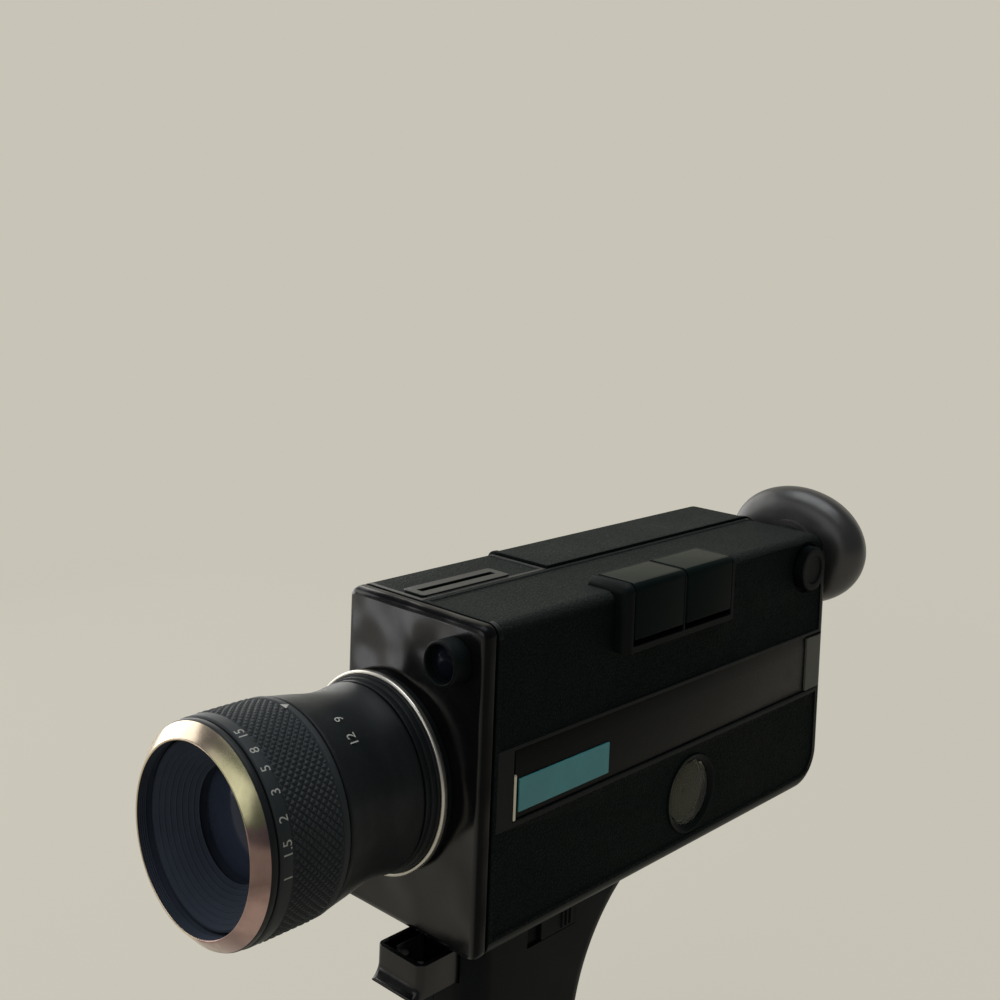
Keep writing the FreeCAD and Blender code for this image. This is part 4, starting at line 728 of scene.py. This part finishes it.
def bezel_piece(gilt, dull, black):
    """Bright front cone, the fine black thread inside it and the shank that holds it in the focus ring."""
    front, thread = BEZEL_FRONT + 0.1, FILTER_RADIUS
    seat, groove, cone_foot, thread_foot = -57.8, -58.3, -60.2, -60.5
    cone = eased([(thread, front), (thread + 0.15, BEZEL_FRONT), (thread + 0.5, BEZEL_FRONT),
                  (FOCUS_RADIUS - 0.7, cone_foot)], 0.35, 4, closed=False)
    shank = eased([(FOCUS_RADIUS - 0.7, cone_foot), (FOCUS_RADIUS - 0.4, -59.6), (FOCUS_RADIUS - 0.4, groove),
                   (FOCUS_RADIUS - 1.2, groove), (FOCUS_RADIUS - 1.2, seat), (thread + 0.4, seat)], 0.35, 4,
                  closed=False)
    turns, thread_deep = 5, 0.28
    steps = np.linspace(0, 1, turns * 4 + 1)
    cut = thread_deep * np.abs(2 * (steps * turns % 1) - 1)
    inside = np.stack([thread + cut, thread_foot + (front - thread_foot) * steps], -1)
    inside[-1] = (thread, front)
    inside = np.concatenate([[(thread + 0.4, seat), (thread + 0.4, thread_foot)], inside[1:]])
    patches = [(spun(profile, LENS_X, LENS_Z, 200), False, number)
               for number, profile in enumerate((cone, inside, shank))]
    build_piece("bezel_cone", patches, [gilt, dull, black], "front_bezel", "focus_ring")


def front_cell_pieces(dull):
    """Stepped ribs that lead in to the front glass, the cell behind them, and the glass itself."""
    low, high = span("front_cell")
    lens_low, lens_high = span("front_lens")
    rim, first, bore, sleeve = FILTER_RADIUS - 0.3, low[1], radius_of("front_lens"), THROAT - WALL - CLEAR
    seat, tail, flange, rear = -44, -42, WIDE_END - 0.3, high[1] - 9
    ribs, deep, fall, lip = 8, 1.1, 1.0, 0.25
    corners = [(rim, first)]
    for rib in range(ribs):
        edge, back = rim - 0.7 - rib * fall, first + (rib + 1) * deep
        corners += [(edge, back - deep), (edge - fall + lip, back - lip), (edge - fall, back - lip)]
    corners += [(bore, first + ribs * deep), (bore, seat), (bore - 1.1, seat), (bore - 1.1, tail),
                (sleeve, tail), (sleeve, flange), (rim - 1, flange), (rim - 1, rear), (rim, rear)]
    ring_piece("front_cell_ribbed", corners, 0.12, dull, "front_cell", "front_cell")
    dome = np.linspace(0, 1, 12)
    half, bulge = bore - 0.02, 2.0
    face = np.stack([half * dome, lens_low[1] + bulge * dome ** 2], -1)
    back = np.stack([half * dome[::-1], lens_high[1] - bulge * dome[::-1] ** 2], -1)
    plain_piece("front_glass_dome", spun(np.concatenate([face, back]), LENS_X, LENS_Z),
                coated_glass("coated glass", 1.3, 0.12), "front_lens", "front_cell")


def printed_labels(name, labels, size, lay_on, body, material):
    """Flat number shapes laid on a surface: lay_on(points, angle) takes flat text to its place.

    labels are (text, angle). A letter's own plane is x along the text and y up it, in millimetres.
    """
    work = bmesh.new()
    for text, angle in labels:
        words = bpy.data.curves.new(name + "_text", "FONT")
        words.body = text
        words.size = size
        words.align_x = "CENTER"
        words.resolution_u = 3
        holder = bpy.data.objects.new(name + "_text", words)
        bpy.context.scene.collection.objects.link(holder)
        flat = bpy.data.meshes.new_from_object(holder.evaluated_get(bpy.context.evaluated_depsgraph_get()))
        bpy.data.objects.remove(holder)
        points = np.empty(len(flat.vertices) * 3)
        flat.vertices.foreach_get("co", points)
        flat.vertices.foreach_set("co", to_frame(lay_on(points.reshape(-1, 3), angle)).ravel())
        work.from_mesh(flat)
        bpy.data.meshes.remove(flat)
    bmesh.ops.triangulate(work, faces=work.faces)
    mesh = bpy.data.meshes.new(name)
    work.to_mesh(mesh)
    work.free()
    dress(bpy.data.objects.new(name, mesh), [material], None, body, SHARP)


def round_the_lens(radius, along):
    """Lays flat text on a ring: x becomes a turn about the lens axis, y a distance along it."""
    def lay_on(points, angle):
        turn = np.radians(angle) + points[:, 0] / radius
        return around(LENS_X, LENS_Z, radius, turn, along - points[:, 1])
    return lay_on


def lens_marks():
    """Plain distances on the band behind the bezel, focal lengths on the zoom ring, and the index."""
    ink = print_ink("lens print", (0.34, 0.34, 0.31))
    distances = [("1", -4), ("1.5", 10), ("2", 24), ("3", 37), ("5", 49), ("8", 60), ("15", 72)]
    on_band = round_the_lens(FOCUS_RADIUS - 0.11, FOCUS_LOW[1] + 3.4)
    printed_labels("distance_numbers", distances, 3.7, on_band, "focus_ring", ink)
    printed_labels("focal_numbers", [("12", 50), ("9", 64)], 3.8, round_the_lens(NECK + 1.9, -26.0),
                   "zoom_ring", ink)
    turn, wide, back, long = math.radians(83), 0.045, FOCUS_HIGH[1] - 0.7, 1.9
    corners = np.array([(turn, back), (turn - wide, back - long), (turn + wide, back - long)])
    loops = []
    for spread, lift in ((0, 0.16), (1, 0.16), (1, 0.1), (0, 0.1)):
        angle, along = (corners.mean(0) + (corners - corners.mean(0)) * spread).T
        loops.append(around(LENS_X, LENS_Z, FOCUS_RADIUS - lift, angle, along))
    plain_piece("index_mark", np.array(loops), ink, body="focus_ring")


# Side fittings

def extruded(section, y1, y2, soft):
    """A closed outline of (x, z) carried along y; it draws in a little at both ends."""
    after = np.roll(section, -1, 0)
    tangent = after - np.roll(section, 1, 0)
    tangent /= np.maximum(np.linalg.norm(tangent, axis=1, keepdims=True), 1e-9)
    area = np.sum(section[:, 0] * after[:, 1] - after[:, 0] * section[:, 1])
    inward = np.stack([-tangent[:, 1], tangent[:, 0]], -1) * np.sign(area)
    return np.array([np.insert(section + inward * inset, 1, y, 1)
                     for inset, y in rounded_ends(y1, y2, soft, soft, 4)])


def capped(name, grid, materials, node, body="camera_body"):
    """A piece from a grid of closed loops whose first and last loops are filled flat."""
    piece = build_piece(name, [(grid, False, 0)], materials, node, body)
    rework(piece.data, filled)
    piece.data.set_sharp_from_angle(angle=math.radians(SHARP))
    return piece


def zoom_cap(name, node, materials):
    """Push button bent over the body's long edge: a flat top, a rounded edge and a flat side."""
    low, high = span(node)
    top, out, foot = high[2], high[0], low[2] + CLEAR
    thick, wall, bend_reach = 2.2, 3, 7
    section = eased([(low[0], top), (low[0], top - thick), (out - wall, top - thick), (out - wall, foot),
                     (out, foot), (out, top)], 0.35, 4)
    bend = eased([(out, top - bend_reach), (out, top), (out - bend_reach, top)], 2.6, 9, closed=False)
    keep = section[(section[:, 0] <= out - 1) | (section[:, 1] <= top - 1)]
    grid = extruded(np.concatenate([keep, bend[9:-9]]), low[1], high[1], 0.45)
    piece = capped(name, grid, materials, node, node)
    # The flat top takes the second material, the pale painted lit colour; the edge and side keep the first,
    # dark as painted shade.
    paint_faces(piece, lambda middles, normals: (normals[:, 2] > 0.93) & (middles[:, 2] > top - 0.6))


def ridged_knob(settings, material):
    """Dioptre knob: a profile about x whose radius falls by half a wave between its ridges."""
    low, high = span("diopter_knob")
    radius, base, face, shaft = radius_of("diopter_knob", 2), high[0] - 3.6, high[0], 1.6
    profile = eased([(0, low[0]), (shaft, low[0]), (shaft, base), (radius, base), (radius, face),
                     (radius - 2.6, face), (radius - 2.9, face - 0.5), (0, face - 0.5)], 0.4, 5, closed=False)
    turn = whole_turn(settings.knob_ridges * 8)[None, :]
    share = np.clip((profile[:, :1] - (radius - 1.2)) / 0.8, 0, 1)
    wave = np.clip(1.6 * np.cos(turn * settings.knob_ridges) ** 2 - 0.3, 0, 1)
    grid = sideways(around(KNOB[1], KNOB[2], profile[:, :1] - 0.42 * share * wave, turn, profile[:, 1:]))
    plain_piece("dioptre_knob_ridged", grid, material, "diopter_knob", "diopter_knob")


def counter_pieces(smooth):
    """Dished ring round the counter, and the clear cup that covers the dial."""
    low, high = span("counter_bezel")
    ring, pane, face = radius_of("counter_bezel", 2), radius_of("counter_window", 2), high[0]
    corners = [(pane, low[0]), (ring, low[0]), (ring, face), (ring - 0.35, face), (ring - 0.9, face - 0.25),
               (pane + 0.3, face - 0.9), (pane, face - 1.0)]
    grid = sideways(spun(eased(corners, 0.12), COUNTER[1], COUNTER[2], 120))
    plain_piece("counter_ring_dished", grid, smooth, "counter_bezel", closed=True)
    low, high = span("counter_window")
    top, inner = high[0], pane - 0.8
    corners = [(0, top - 0.1), (pane * 0.6, top - 0.05), (pane - 0.4, top - 0.02), (pane, top - 0.3),
               (pane, low[0]), (inner, low[0]), (inner, top - 0.9), (0, top - 0.9)]
    grid = sideways(spun(eased(corners, 0.15, closed=False), COUNTER[1], COUNTER[2], 120))
    clear = glass("window glass", (0.72, 0.74, 0.62), 0.03, 1.15)
    plain_piece("counter_pane", grid, clear, "counter_window")


def flat_fittings(settings, gloss):
    """Strip, its bright front bar, the bare badge and the pale end plate."""
    low, high = span("name_strip")
    face, bevel = high[0], low[2] + 14.4
    section = eased([(low[0], low[2]), (face, low[2]), (face, bevel), (face - 0.22, high[2]),
                     (low[0], high[2])], 0.08, 3)
    capped("strip_glossy", extruded(section, low[1], high[1], 0.08), [gloss], "name_strip")
    silver = metal("bar silver", (0.42, 0.40, 0.34), 0.28)
    bar = slab(*span("strip_end_bar"), 0.3, 0.3, 0)
    plain_piece("strip_bar_bright", bar, silver, "strip_end_bar")
    paint = plastic("badge teal", settings.badge, 0.42, 0.004, worn=(0.2, 0.3, 0.31), specular=0.3)
    badge = slab(*span("badge_plate"), 0.25, 0.12, 0)
    plain_piece("badge_bare", badge, paint, "badge_plate")
    pale = plastic("pale plastic", (0.085, 0.085, 0.075), 0.5, 0.01)
    finished_copy("strip_end_plate", [pale], 0.12)


def front_plate_piece(gloss):
    """Front plate: a rounded rectangle with a soft front edge, on a narrower rim that enters the casing."""
    low, high = span("front_plate")
    thick, rim_start, inset = 4.0, 3.5, 2.2
    plate = slab(low, (high[0], thick, high[2]), 3.0, 2.0, 1, 0.35)
    rim = slab((low[0] + inset, rim_start, low[2] + inset), (high[0] - inset, high[1], high[2] - inset),
               inset, 0.4, 1)
    patches = [(plate, False, 0), (rim, False, 0)]
    build_piece("front_plate_glossy", patches, [gloss], "front_plate")


def eye_pieces(dull):
    """The electric eye: a small tube on the front plate and the domed glass in it."""
    radius, front = radius_of("eye_tube"), span("eye_tube")[0][1]
    ring_piece("eye_tube_turned", [
        (radius - 1.5, 0), (radius, 0), (radius, front + 0.4), (radius - 0.35, front), (radius - 0.9, front),
        (radius - 1, front + 0.3), (radius - 1, front + 2.8), (radius - 1.5, front + 2.8)],
        0.2, dull, "eye_tube", segments=96, centre=(EYE_X, EYE_Z))
    low, high = span("eye_lens")
    radius = radius_of("eye_lens")
    out = radius * np.linspace(0, 1, 12)
    dome = np.stack([out, low[1] + radius - np.sqrt(radius ** 2 - (out * 0.7) ** 2) + 0.02], -1)
    dome = np.concatenate([dome, [(radius, high[1]), (0, high[1])]])
    plain_piece("eye_lens_dome", spun(dome, EYE_X, EYE_Z, 64), coated_glass("eye glass", 0.25, 0.05),
                "eye_lens")


def eyecup_piece(material):
    """Rubber eyecup: ovals that grow from the neck as a rounded corner does, then draw in to the lip.

    At a share p of the depth the growth is (1 - (1 - p)^3)^(1/3) x (1 - 0.17 p^3). Rows of rings are
    (y, half width, half height, shift along x, shift along z).
    """
    low, high = span("eyecup")
    start, back = low[1], high[1]
    neck, bore, skin, bowl, collar = 11.0, 9.06, 1.8, start + 2.3, start + 1.2
    lip = skin / 2
    part = np.linspace(0.004, 1, 30) ** 1.5
    grow = np.cbrt(1 - (1 - part) ** 3) * (1 - 0.17 * part ** 3)
    centre = (low + high) / 2
    half = (high - low) / 2 - 0.08 - neck
    reach = np.array([half[0], half[2], centre[0] - CUP_X, centre[2] - CUP_Z]) / grow.max()
    outer = np.column_stack([bowl + (back - lip - bowl) * part, np.outer(grow, reach) + [neck, neck, 0, 0]])
    roll = np.linspace(0, np.pi, 8)[1:-1]
    drawn = lip * np.cos(roll) - lip
    none = np.zeros(len(roll))
    rolled = outer[-1] + np.column_stack([lip * np.sin(roll), drawn, drawn, none, none])
    inner = outer[::-1] - [0, skin, skin, 0, 0]
    inner[:, 0] += skin * (1 - part[::-1]) * 0.8
    inner = inner[(inner[:, 1] > bore + 0.4) & (inner[:, 2] > bore + 0.4)]
    neck_in = [(y, bore, bore, 0, 0) for y in (inner[-1, 0] + 0.2, start)]
    neck_out = [(y, neck, neck, 0, 0) for y in (start, collar, bowl)]
    rings = np.concatenate([neck_out, outer, rolled, inner, neck_in])
    turn = whole_turn(144)
    y, wide, tall, shift, lift = [rings[:, column:column + 1] for column in range(5)]
    grid = np.stack([CUP_X + shift + wide * np.cos(turn), y + 0 * turn,
                     CUP_Z + lift + tall * np.sin(turn)], -1)
    plain_piece("eyecup_rubber", grid, material, "eyecup", "eyecup", closed=True, sharp=60)


# Moulded shells and everything that keeps its CAD shape

def moulded_pieces(settings, leather, smooth, gloss, grip):
    """Casings with grained panels in smooth borders, and the plain mouldings."""
    strip_low, strip_high = span("name_strip")
    door_low, door_high = span("film_door")
    # The panels' front and rear ends, and the width of the border below them
    start, end, border = 5 + BEAD, CASE_LONG - 4.9, 4.9

    def grained_left(middles, normals):
        x, y, z = middles.T
        inside = (y > start) & (y < end) & (x > SEAM + BEAD - 0.1)
        low_panel = (z > border) & (z < strip_low[2] - 1.6) & (x > CASE_LEFT - 1)
        panels = (z > strip_high[2] + 1.4) | low_panel
        outer_skin = (x > CASE_LEFT - 5) | (z > CASE_TALL - 1)
        deep_wall = (normals[:, 0] < -0.5) | (normals[:, 2] < -0.5)
        return inside & panels & outer_skin & ~deep_wall

    def grained_right(middles, normals):
        x, _, z = middles.T
        top = (z > CASE_TALL - 0.6) & (normals[:, 2] > 0.5) & (z < CASE_TALL - 0.2)
        side = (x < -CASE_LEFT + 0.5) & (x > -CASE_LEFT + 0.2) & (normals[:, 0] < -0.5)
        return top | side

    def grained_door(middles, normals):
        x, y, z = middles.T
        inside = (x < SEAM - BEAD - 0.2) & (y > door_low[1] + BEAD - 0.1) & (y < end) & (z > CASE_TALL - 5.1)
        upward = (normals[:, 2] > 0.05) & (z > door_high[2] - 3.5)
        outward = (normals[:, 0] < -0.05) & (x < door_low[0] + 3.5)
        side = (x > door_low[0] + 0.2) & (x < door_low[0] + 0.6) & (normals[:, 0] < -0.5)
        return inside & (upward | outward) | side

    for node, rule, body in (("left_casing", grained_left, "camera_body"),
                             ("right_front_casing", grained_right, "camera_body"),
                             ("film_door", grained_door, "film_door")):
        finished_copy(node, [smooth, leather], settings.edge, rule, body)
    for node in ("zoom_button_housing", "grip_left", "grip_right"):
        finished_copy(node, [grip], settings.edge)
    for node in ("battery_door", "run_switch", "door_latch"):
        finished_copy(node, [grip], settings.edge, body=node)
    finished_copy("trigger", [gloss], settings.edge, body="trigger")


def keep_nodes(finishes):
    """Gives each CAD node that stays its finish."""
    for material, names in finishes:
        for name in names:
            mesh = NODES[name].data
            mesh.materials.clear()
            mesh.materials.append(material)


def trigger_coil(steel):
    """Coil behind the trigger: a steel copy of the CAD spring, with a mesh of its own."""
    coil = finished_copy("trigger_spring", [steel], 0)
    low, high = span("trigger_spring")
    Vector(to_frame(high))
    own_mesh(coil)


# Stage, light and view

VIEW_PLACE = (262.8, -253.9, 198.4)
VIEW_TURN, VIEW_RISE, VIEW_ROLL = 42.86, 3.87, 2.17
VIEW_SHIFT = (0.0, -0.2)
DAYLIGHT = (1.0, 0.99, 0.97)


def make_camera(focal):
    """Camera at the photograph's angle: turned round the upright, tipped down, then rolled."""
    turn, rise, roll = np.radians([VIEW_TURN, VIEW_RISE, VIEW_ROLL])
    back = np.array([np.sin(turn) * np.cos(rise), -np.cos(turn) * np.cos(rise), np.sin(rise)])
    right = np.cross(-back, [0, 0, 1])
    right /= np.linalg.norm(right)
    up = np.cross(right, -back)
    across = np.cos(roll) * right + np.sin(roll) * up
    upward = np.cos(roll) * up - np.sin(roll) * right
    data = bpy.data.cameras.new("view")
    data.lens = focal
    data.shift_x, data.shift_y = VIEW_SHIFT
    data.clip_start = 0.01
    camera = bpy.data.objects.new("view", data)
    turned = Matrix(np.array([across, upward, back]).T.tolist()).to_4x4()
    camera.matrix_world = Matrix.Translation(Vector(to_frame(VIEW_PLACE))) @ turned
    bpy.context.scene.collection.objects.link(camera)
    bpy.context.scene.camera = camera


def lamp(name, place, aim, width, height, power, tone):
    """Soft rectangular light that looks from its place at its aim; its width and height are metres."""
    data = bpy.data.lights.new(name, "AREA")
    data.shape = "RECTANGLE"
    data.size, data.size_y = width, height
    data.energy = power
    data.color = tone
    made = bpy.data.objects.new(name, data)
    made.visible_camera = False
    made.location = to_frame(place)
    made.rotation_euler = Vector(to_frame(aim) - to_frame(place)).to_track_quat("-Z", "Y").to_euler()
    bpy.context.scene.collection.objects.link(made)


def backdrop_piece(tone):
    """One sheet: a level floor that rises behind the camera in a quarter circle. Sizes are metres."""
    reach, bend, wide, rise, below = 1.6, 0.5, 2.4, 1.6, 0.0003
    quarter = np.linspace(0, np.pi / 2, 16)
    along = np.concatenate([np.linspace(-reach, reach, 10), reach + bend * np.sin(quarter), [reach + bend]])
    up = np.concatenate([np.zeros(10), bend - bend * np.cos(quarter), [bend + rise]])[:, None] - below
    across = np.linspace(-wide, wide, 12)[None, :]
    away = np.array([-np.sin(np.radians(VIEW_TURN)), np.cos(np.radians(VIEW_TURN))])
    grid = np.stack([along[:, None] * away[0] + across * away[1],
                     along[:, None] * away[1] - across * away[0], up + 0 * across], -1)
    index = np.arange(grid.shape[0] * grid.shape[1]).reshape(grid.shape[:2])
    mesh = bpy.data.meshes.new("backdrop")
    mesh.from_pydata(grid.reshape(-1, 3).tolist(), [], quads_of(index)[:, ::-1].tolist())
    mesh.shade_smooth()
    sheet = bpy.data.objects.new("backdrop", mesh)
    bpy.context.scene.collection.objects.link(sheet)
    mesh.materials.append(paper(tone))


def paper(tone):
    """Dull paper that shows its own colour to the camera and in what metal and glass show.

    Near the object its own light gives way to real light by 0.08, so that the floor keeps the shadow.
    """
    sheet = Finish("paper", Specular_IOR_Level=0.1)
    sheet.done(colour(tone), 0.9)
    rays = sheet.tree.nodes.new("ShaderNodeLightPath").outputs
    seen = sheet.maths("MAXIMUM", rays["Is Camera Ray"], rays["Is Glossy Ray"])
    seen = sheet.maths("MAXIMUM", seen, rays["Is Transmission Ray"])
    glow = sheet.add("ShaderNodeEmission", Color=colour(tone), Strength=1.0)
    far = sheet.add("ShaderNodeVectorMath", {"operation": "LENGTH"}, _0=sheet.place).outputs["Value"]
    share = sheet.times(seen, sheet.remap(far, 0.25, 0.8, 0.92, 1.0))
    mixed = sheet.add("ShaderNodeMixShader", _0=share, _1=sheet.shader.outputs[0], _2=glow.outputs[0])
    sheet.feed(sheet.tree.nodes["Material Output"].inputs["Surface"], mixed.outputs[0])
    return sheet.material


def make_world(strength):
    """Plain grey room, the same from every side."""
    world = bpy.data.worlds.new("room")
    bpy.context.scene.world = world
    world.use_nodes = True
    room = world.node_tree.nodes["Background"]
    room.inputs["Color"].default_value = (0.54, 0.56, 0.58, 1)
    room.inputs["Strength"].default_value = strength


# Operators, one for each group of pieces

class CAMERA_OT_stage(bpy.types.Operator):
    """Makes the floor, backdrop, lights and the view"""
    bl_idname = "movie_camera.stage"
    bl_label = "Stage and light"

    def execute(self, context):
        settings = context.scene.movie_camera_stage
        make_camera(settings.lens)
        backdrop_piece(settings.backdrop)
        make_world(settings.room)
        lamp("top light", (-60, 60, 900), (0, 60, 60), 0.8, 0.8, settings.top_light, (0.96, 0.99, 1.0))
        lamp("side light", (-600, 20, 210), (0, 0, 60), 0.85, 0.5, settings.side_light, DAYLIGHT)
        lamp("lens light", (-20, -520, 310), (-10, -62, 42), 0.6, 0.36, settings.lens_light, DAYLIGHT)
        lamp("low light", (-340, -320, -36), (0, 0, 70), 0.13, 0.08, settings.low_light, (0.95, 0.95, 1.0))
        context.scene.view_settings.view_transform = "Standard"
        return {"FINISHED"}


class CAMERA_OT_lens(bpy.types.Operator):
    """Makes the turned lens rings, the knurled ring, the bezel, the front glass and their marks"""
    bl_idname = "movie_camera.lens"
    bl_label = "Lens"

    def execute(self, context):
        lens_pieces(context.scene.movie_camera_lens)
        lens_marks()
        return {"FINISHED"}


class CAMERA_OT_casings(bpy.types.Operator):
    """Finishes the moulded casings, door, grip, trigger, front plate and electric eye"""
    bl_idname = "movie_camera.casings"
    bl_label = "Casings and grip"

    def execute(self, context):
        settings = context.scene.movie_camera_case
        leather = leatherette(settings.leather)
        smooth = plastic("smooth black", settings.smooth, 0.38, 0.012, specular=0.07,
                         shine=(2, 0.5, 0.95, 0.42))
        gloss = plastic("glossy black", settings.gloss, 0.17, 0.0015, 3.2, specular=0.34)
        plate = plastic("plate black", settings.gloss, 0.17, 0.0015, 3.2, specular=0.37,
                        shine=(1, -0.97, -0.75, 0.06))
        grip = plastic("grip black", settings.smooth, 0.45, 0.012, specular=0.05)
        moulded_pieces(settings, leather, smooth, gloss, grip)
        front_plate_piece(plate)
        eye_pieces(grip)
        return {"FINISHED"}


class CAMERA_OT_fittings(bpy.types.Operator):
    """Makes the strip and its plates, the zoom buttons, the counter window, the knob and the eyecup"""
    bl_idname = "movie_camera.fittings"
    bl_label = "Side fittings and eyecup"

    def execute(self, context):
        settings = context.scene.movie_camera_case
        smooth = plastic("fitting black", settings.smooth, 0.4, 0.008, specular=0.04)
        strip = plastic("strip black", (0.0036, 0.0038, 0.0036), 0.28, 0.001, 0.05, specular=0.05)
        flat_fittings(settings, strip)
        # Painted light: the flat tops of the buttons get the pale button colour, and their edges and sides
        # the dark leatherette colour as painted shade of the same moulding.
        lit_cap_top = plastic("cap top", settings.caps, 0.5, 0.008, specular=0.08)
        shaded_cap_side = plastic("cap side", settings.leather, 0.42, 0.006, specular=0.015)
        zoom_cap("zoom_cap_wide", "zoom_button_wide", [shaded_cap_side, lit_cap_top])
        zoom_cap("zoom_cap_tele", "zoom_button_tele", [shaded_cap_side, lit_cap_top])
        ridged_knob(settings, smooth)
        counter_pieces(smooth)
        eyecup_piece(rubber("satin rubber", (0.017, 0.016, 0.016)))
        return {"FINISHED"}


class CAMERA_OT_works(bpy.types.Operator):
    """Gives the parts inside, and the small bare metal parts, their finishes"""
    bl_idname = "movie_camera.works"
    bl_label = "Works inside"

    def execute(self, context):
        settings = context.scene.movie_camera_case
        steel = metal("steel", (0.55, 0.55, 0.54), 0.35)
        trigger_coil(steel)
        keep_nodes([
            (steel, ["casing_screws", "hinge_pins", "shutter_shaft", "takeup_spindle", "claw",
                     "trigger_screws", "filter_slide", "meter_vane", "light_meter", "drive_motor",
                     "zoom_motor"]),
            (metal("brass", (0.62, 0.46, 0.2), 0.35),
             ["tripod_bush", "motor_pinion", "zoom_pinion", "battery_contacts"]),
            (plastic("nylon", (0.7, 0.67, 0.6), 0.5, 0.01), ["idler_gear"]),
            (plastic("painted alloy", (0.05, 0.05, 0.052), 0.5, 0.03, 0.1), ["chassis"]),
            (plastic("board green", (0.05, 0.14, 0.05), 0.4, 0.01), ["circuit_board"]),
            (plastic("cell jacket", (0.05, 0.05, 0.07), 0.35, 0.004), ["batteries"]),
            # Painted shade: the ivory dial is given a dark colour, as it sits recessed behind the pane.
            (plastic("dial ivory", (0.028, 0.027, 0.018), 0.5, 0.006, worn=(0.03, 0.029, 0.02)),
             ["counter_dial"]),
            (plastic("inner black", settings.smooth, 0.5, 0.01),
             ["variator_cell", "compensator_cell", "rear_lens_tube", "finder_tube", "trigger_switch"]),
            (glass("lens glass", (0.92, 0.95, 0.97)), ["rear_lens", "eyepiece_lens", "beam_splitter"]),
            (metal("silvered mirror", (0.85, 0.87, 0.88), 0.06, 0.0002), ["finder_mirrors"]),
        ])
        return {"FINISHED"}


class CAMERA_PT_looks(bpy.types.Panel):
    """Sizes, colours and the buttons that make each group of pieces"""
    bl_idname = "CAMERA_PT_looks"
    bl_label = "Movie Camera Looks"
    bl_space_type = "VIEW_3D"
    bl_region_type = "UI"
    bl_category = "Movie Camera"

    def draw(self, context):
        layout = self.layout
        for title, name in SETTINGS:
            box = layout.box()
            box.label(text=title)
            group = getattr(context.scene, name)
            for field in group.bl_rna.properties.keys():
                if field not in {"rna_type", "name"}:
                    box.prop(group, field)
        for operator in OPERATORS:
            layout.operator(operator.bl_idname)


SETTINGS = (("Casings", "movie_camera_case"), ("Lens", "movie_camera_lens"), ("Stage", "movie_camera_stage"))
GROUP_TYPES = (CASE_settings, LENS_settings, STAGE_settings)
OPERATORS = (CAMERA_OT_stage, CAMERA_OT_casings, CAMERA_OT_lens, CAMERA_OT_fittings, CAMERA_OT_works)


def register():
    for kind in GROUP_TYPES + OPERATORS + (CAMERA_PT_looks,):
        bpy.utils.register_class(kind)
    for (_, name), kind in zip(SETTINGS, GROUP_TYPES):
        setattr(bpy.types.Scene, name, bpy.props.PointerProperty(type=kind))


def unregister():
    for _, name in SETTINGS:
        delattr(bpy.types.Scene, name)
    for kind in reversed(GROUP_TYPES + OPERATORS + (CAMERA_PT_looks,)):
        bpy.utils.unregister_class(kind)


def main():
    register()
    bpy.ops.movie_camera.stage()
    bpy.ops.movie_camera.casings()
    bpy.ops.movie_camera.lens()
    bpy.ops.movie_camera.fittings()
    bpy.ops.movie_camera.works()


if __name__ == "__main__":
    main()
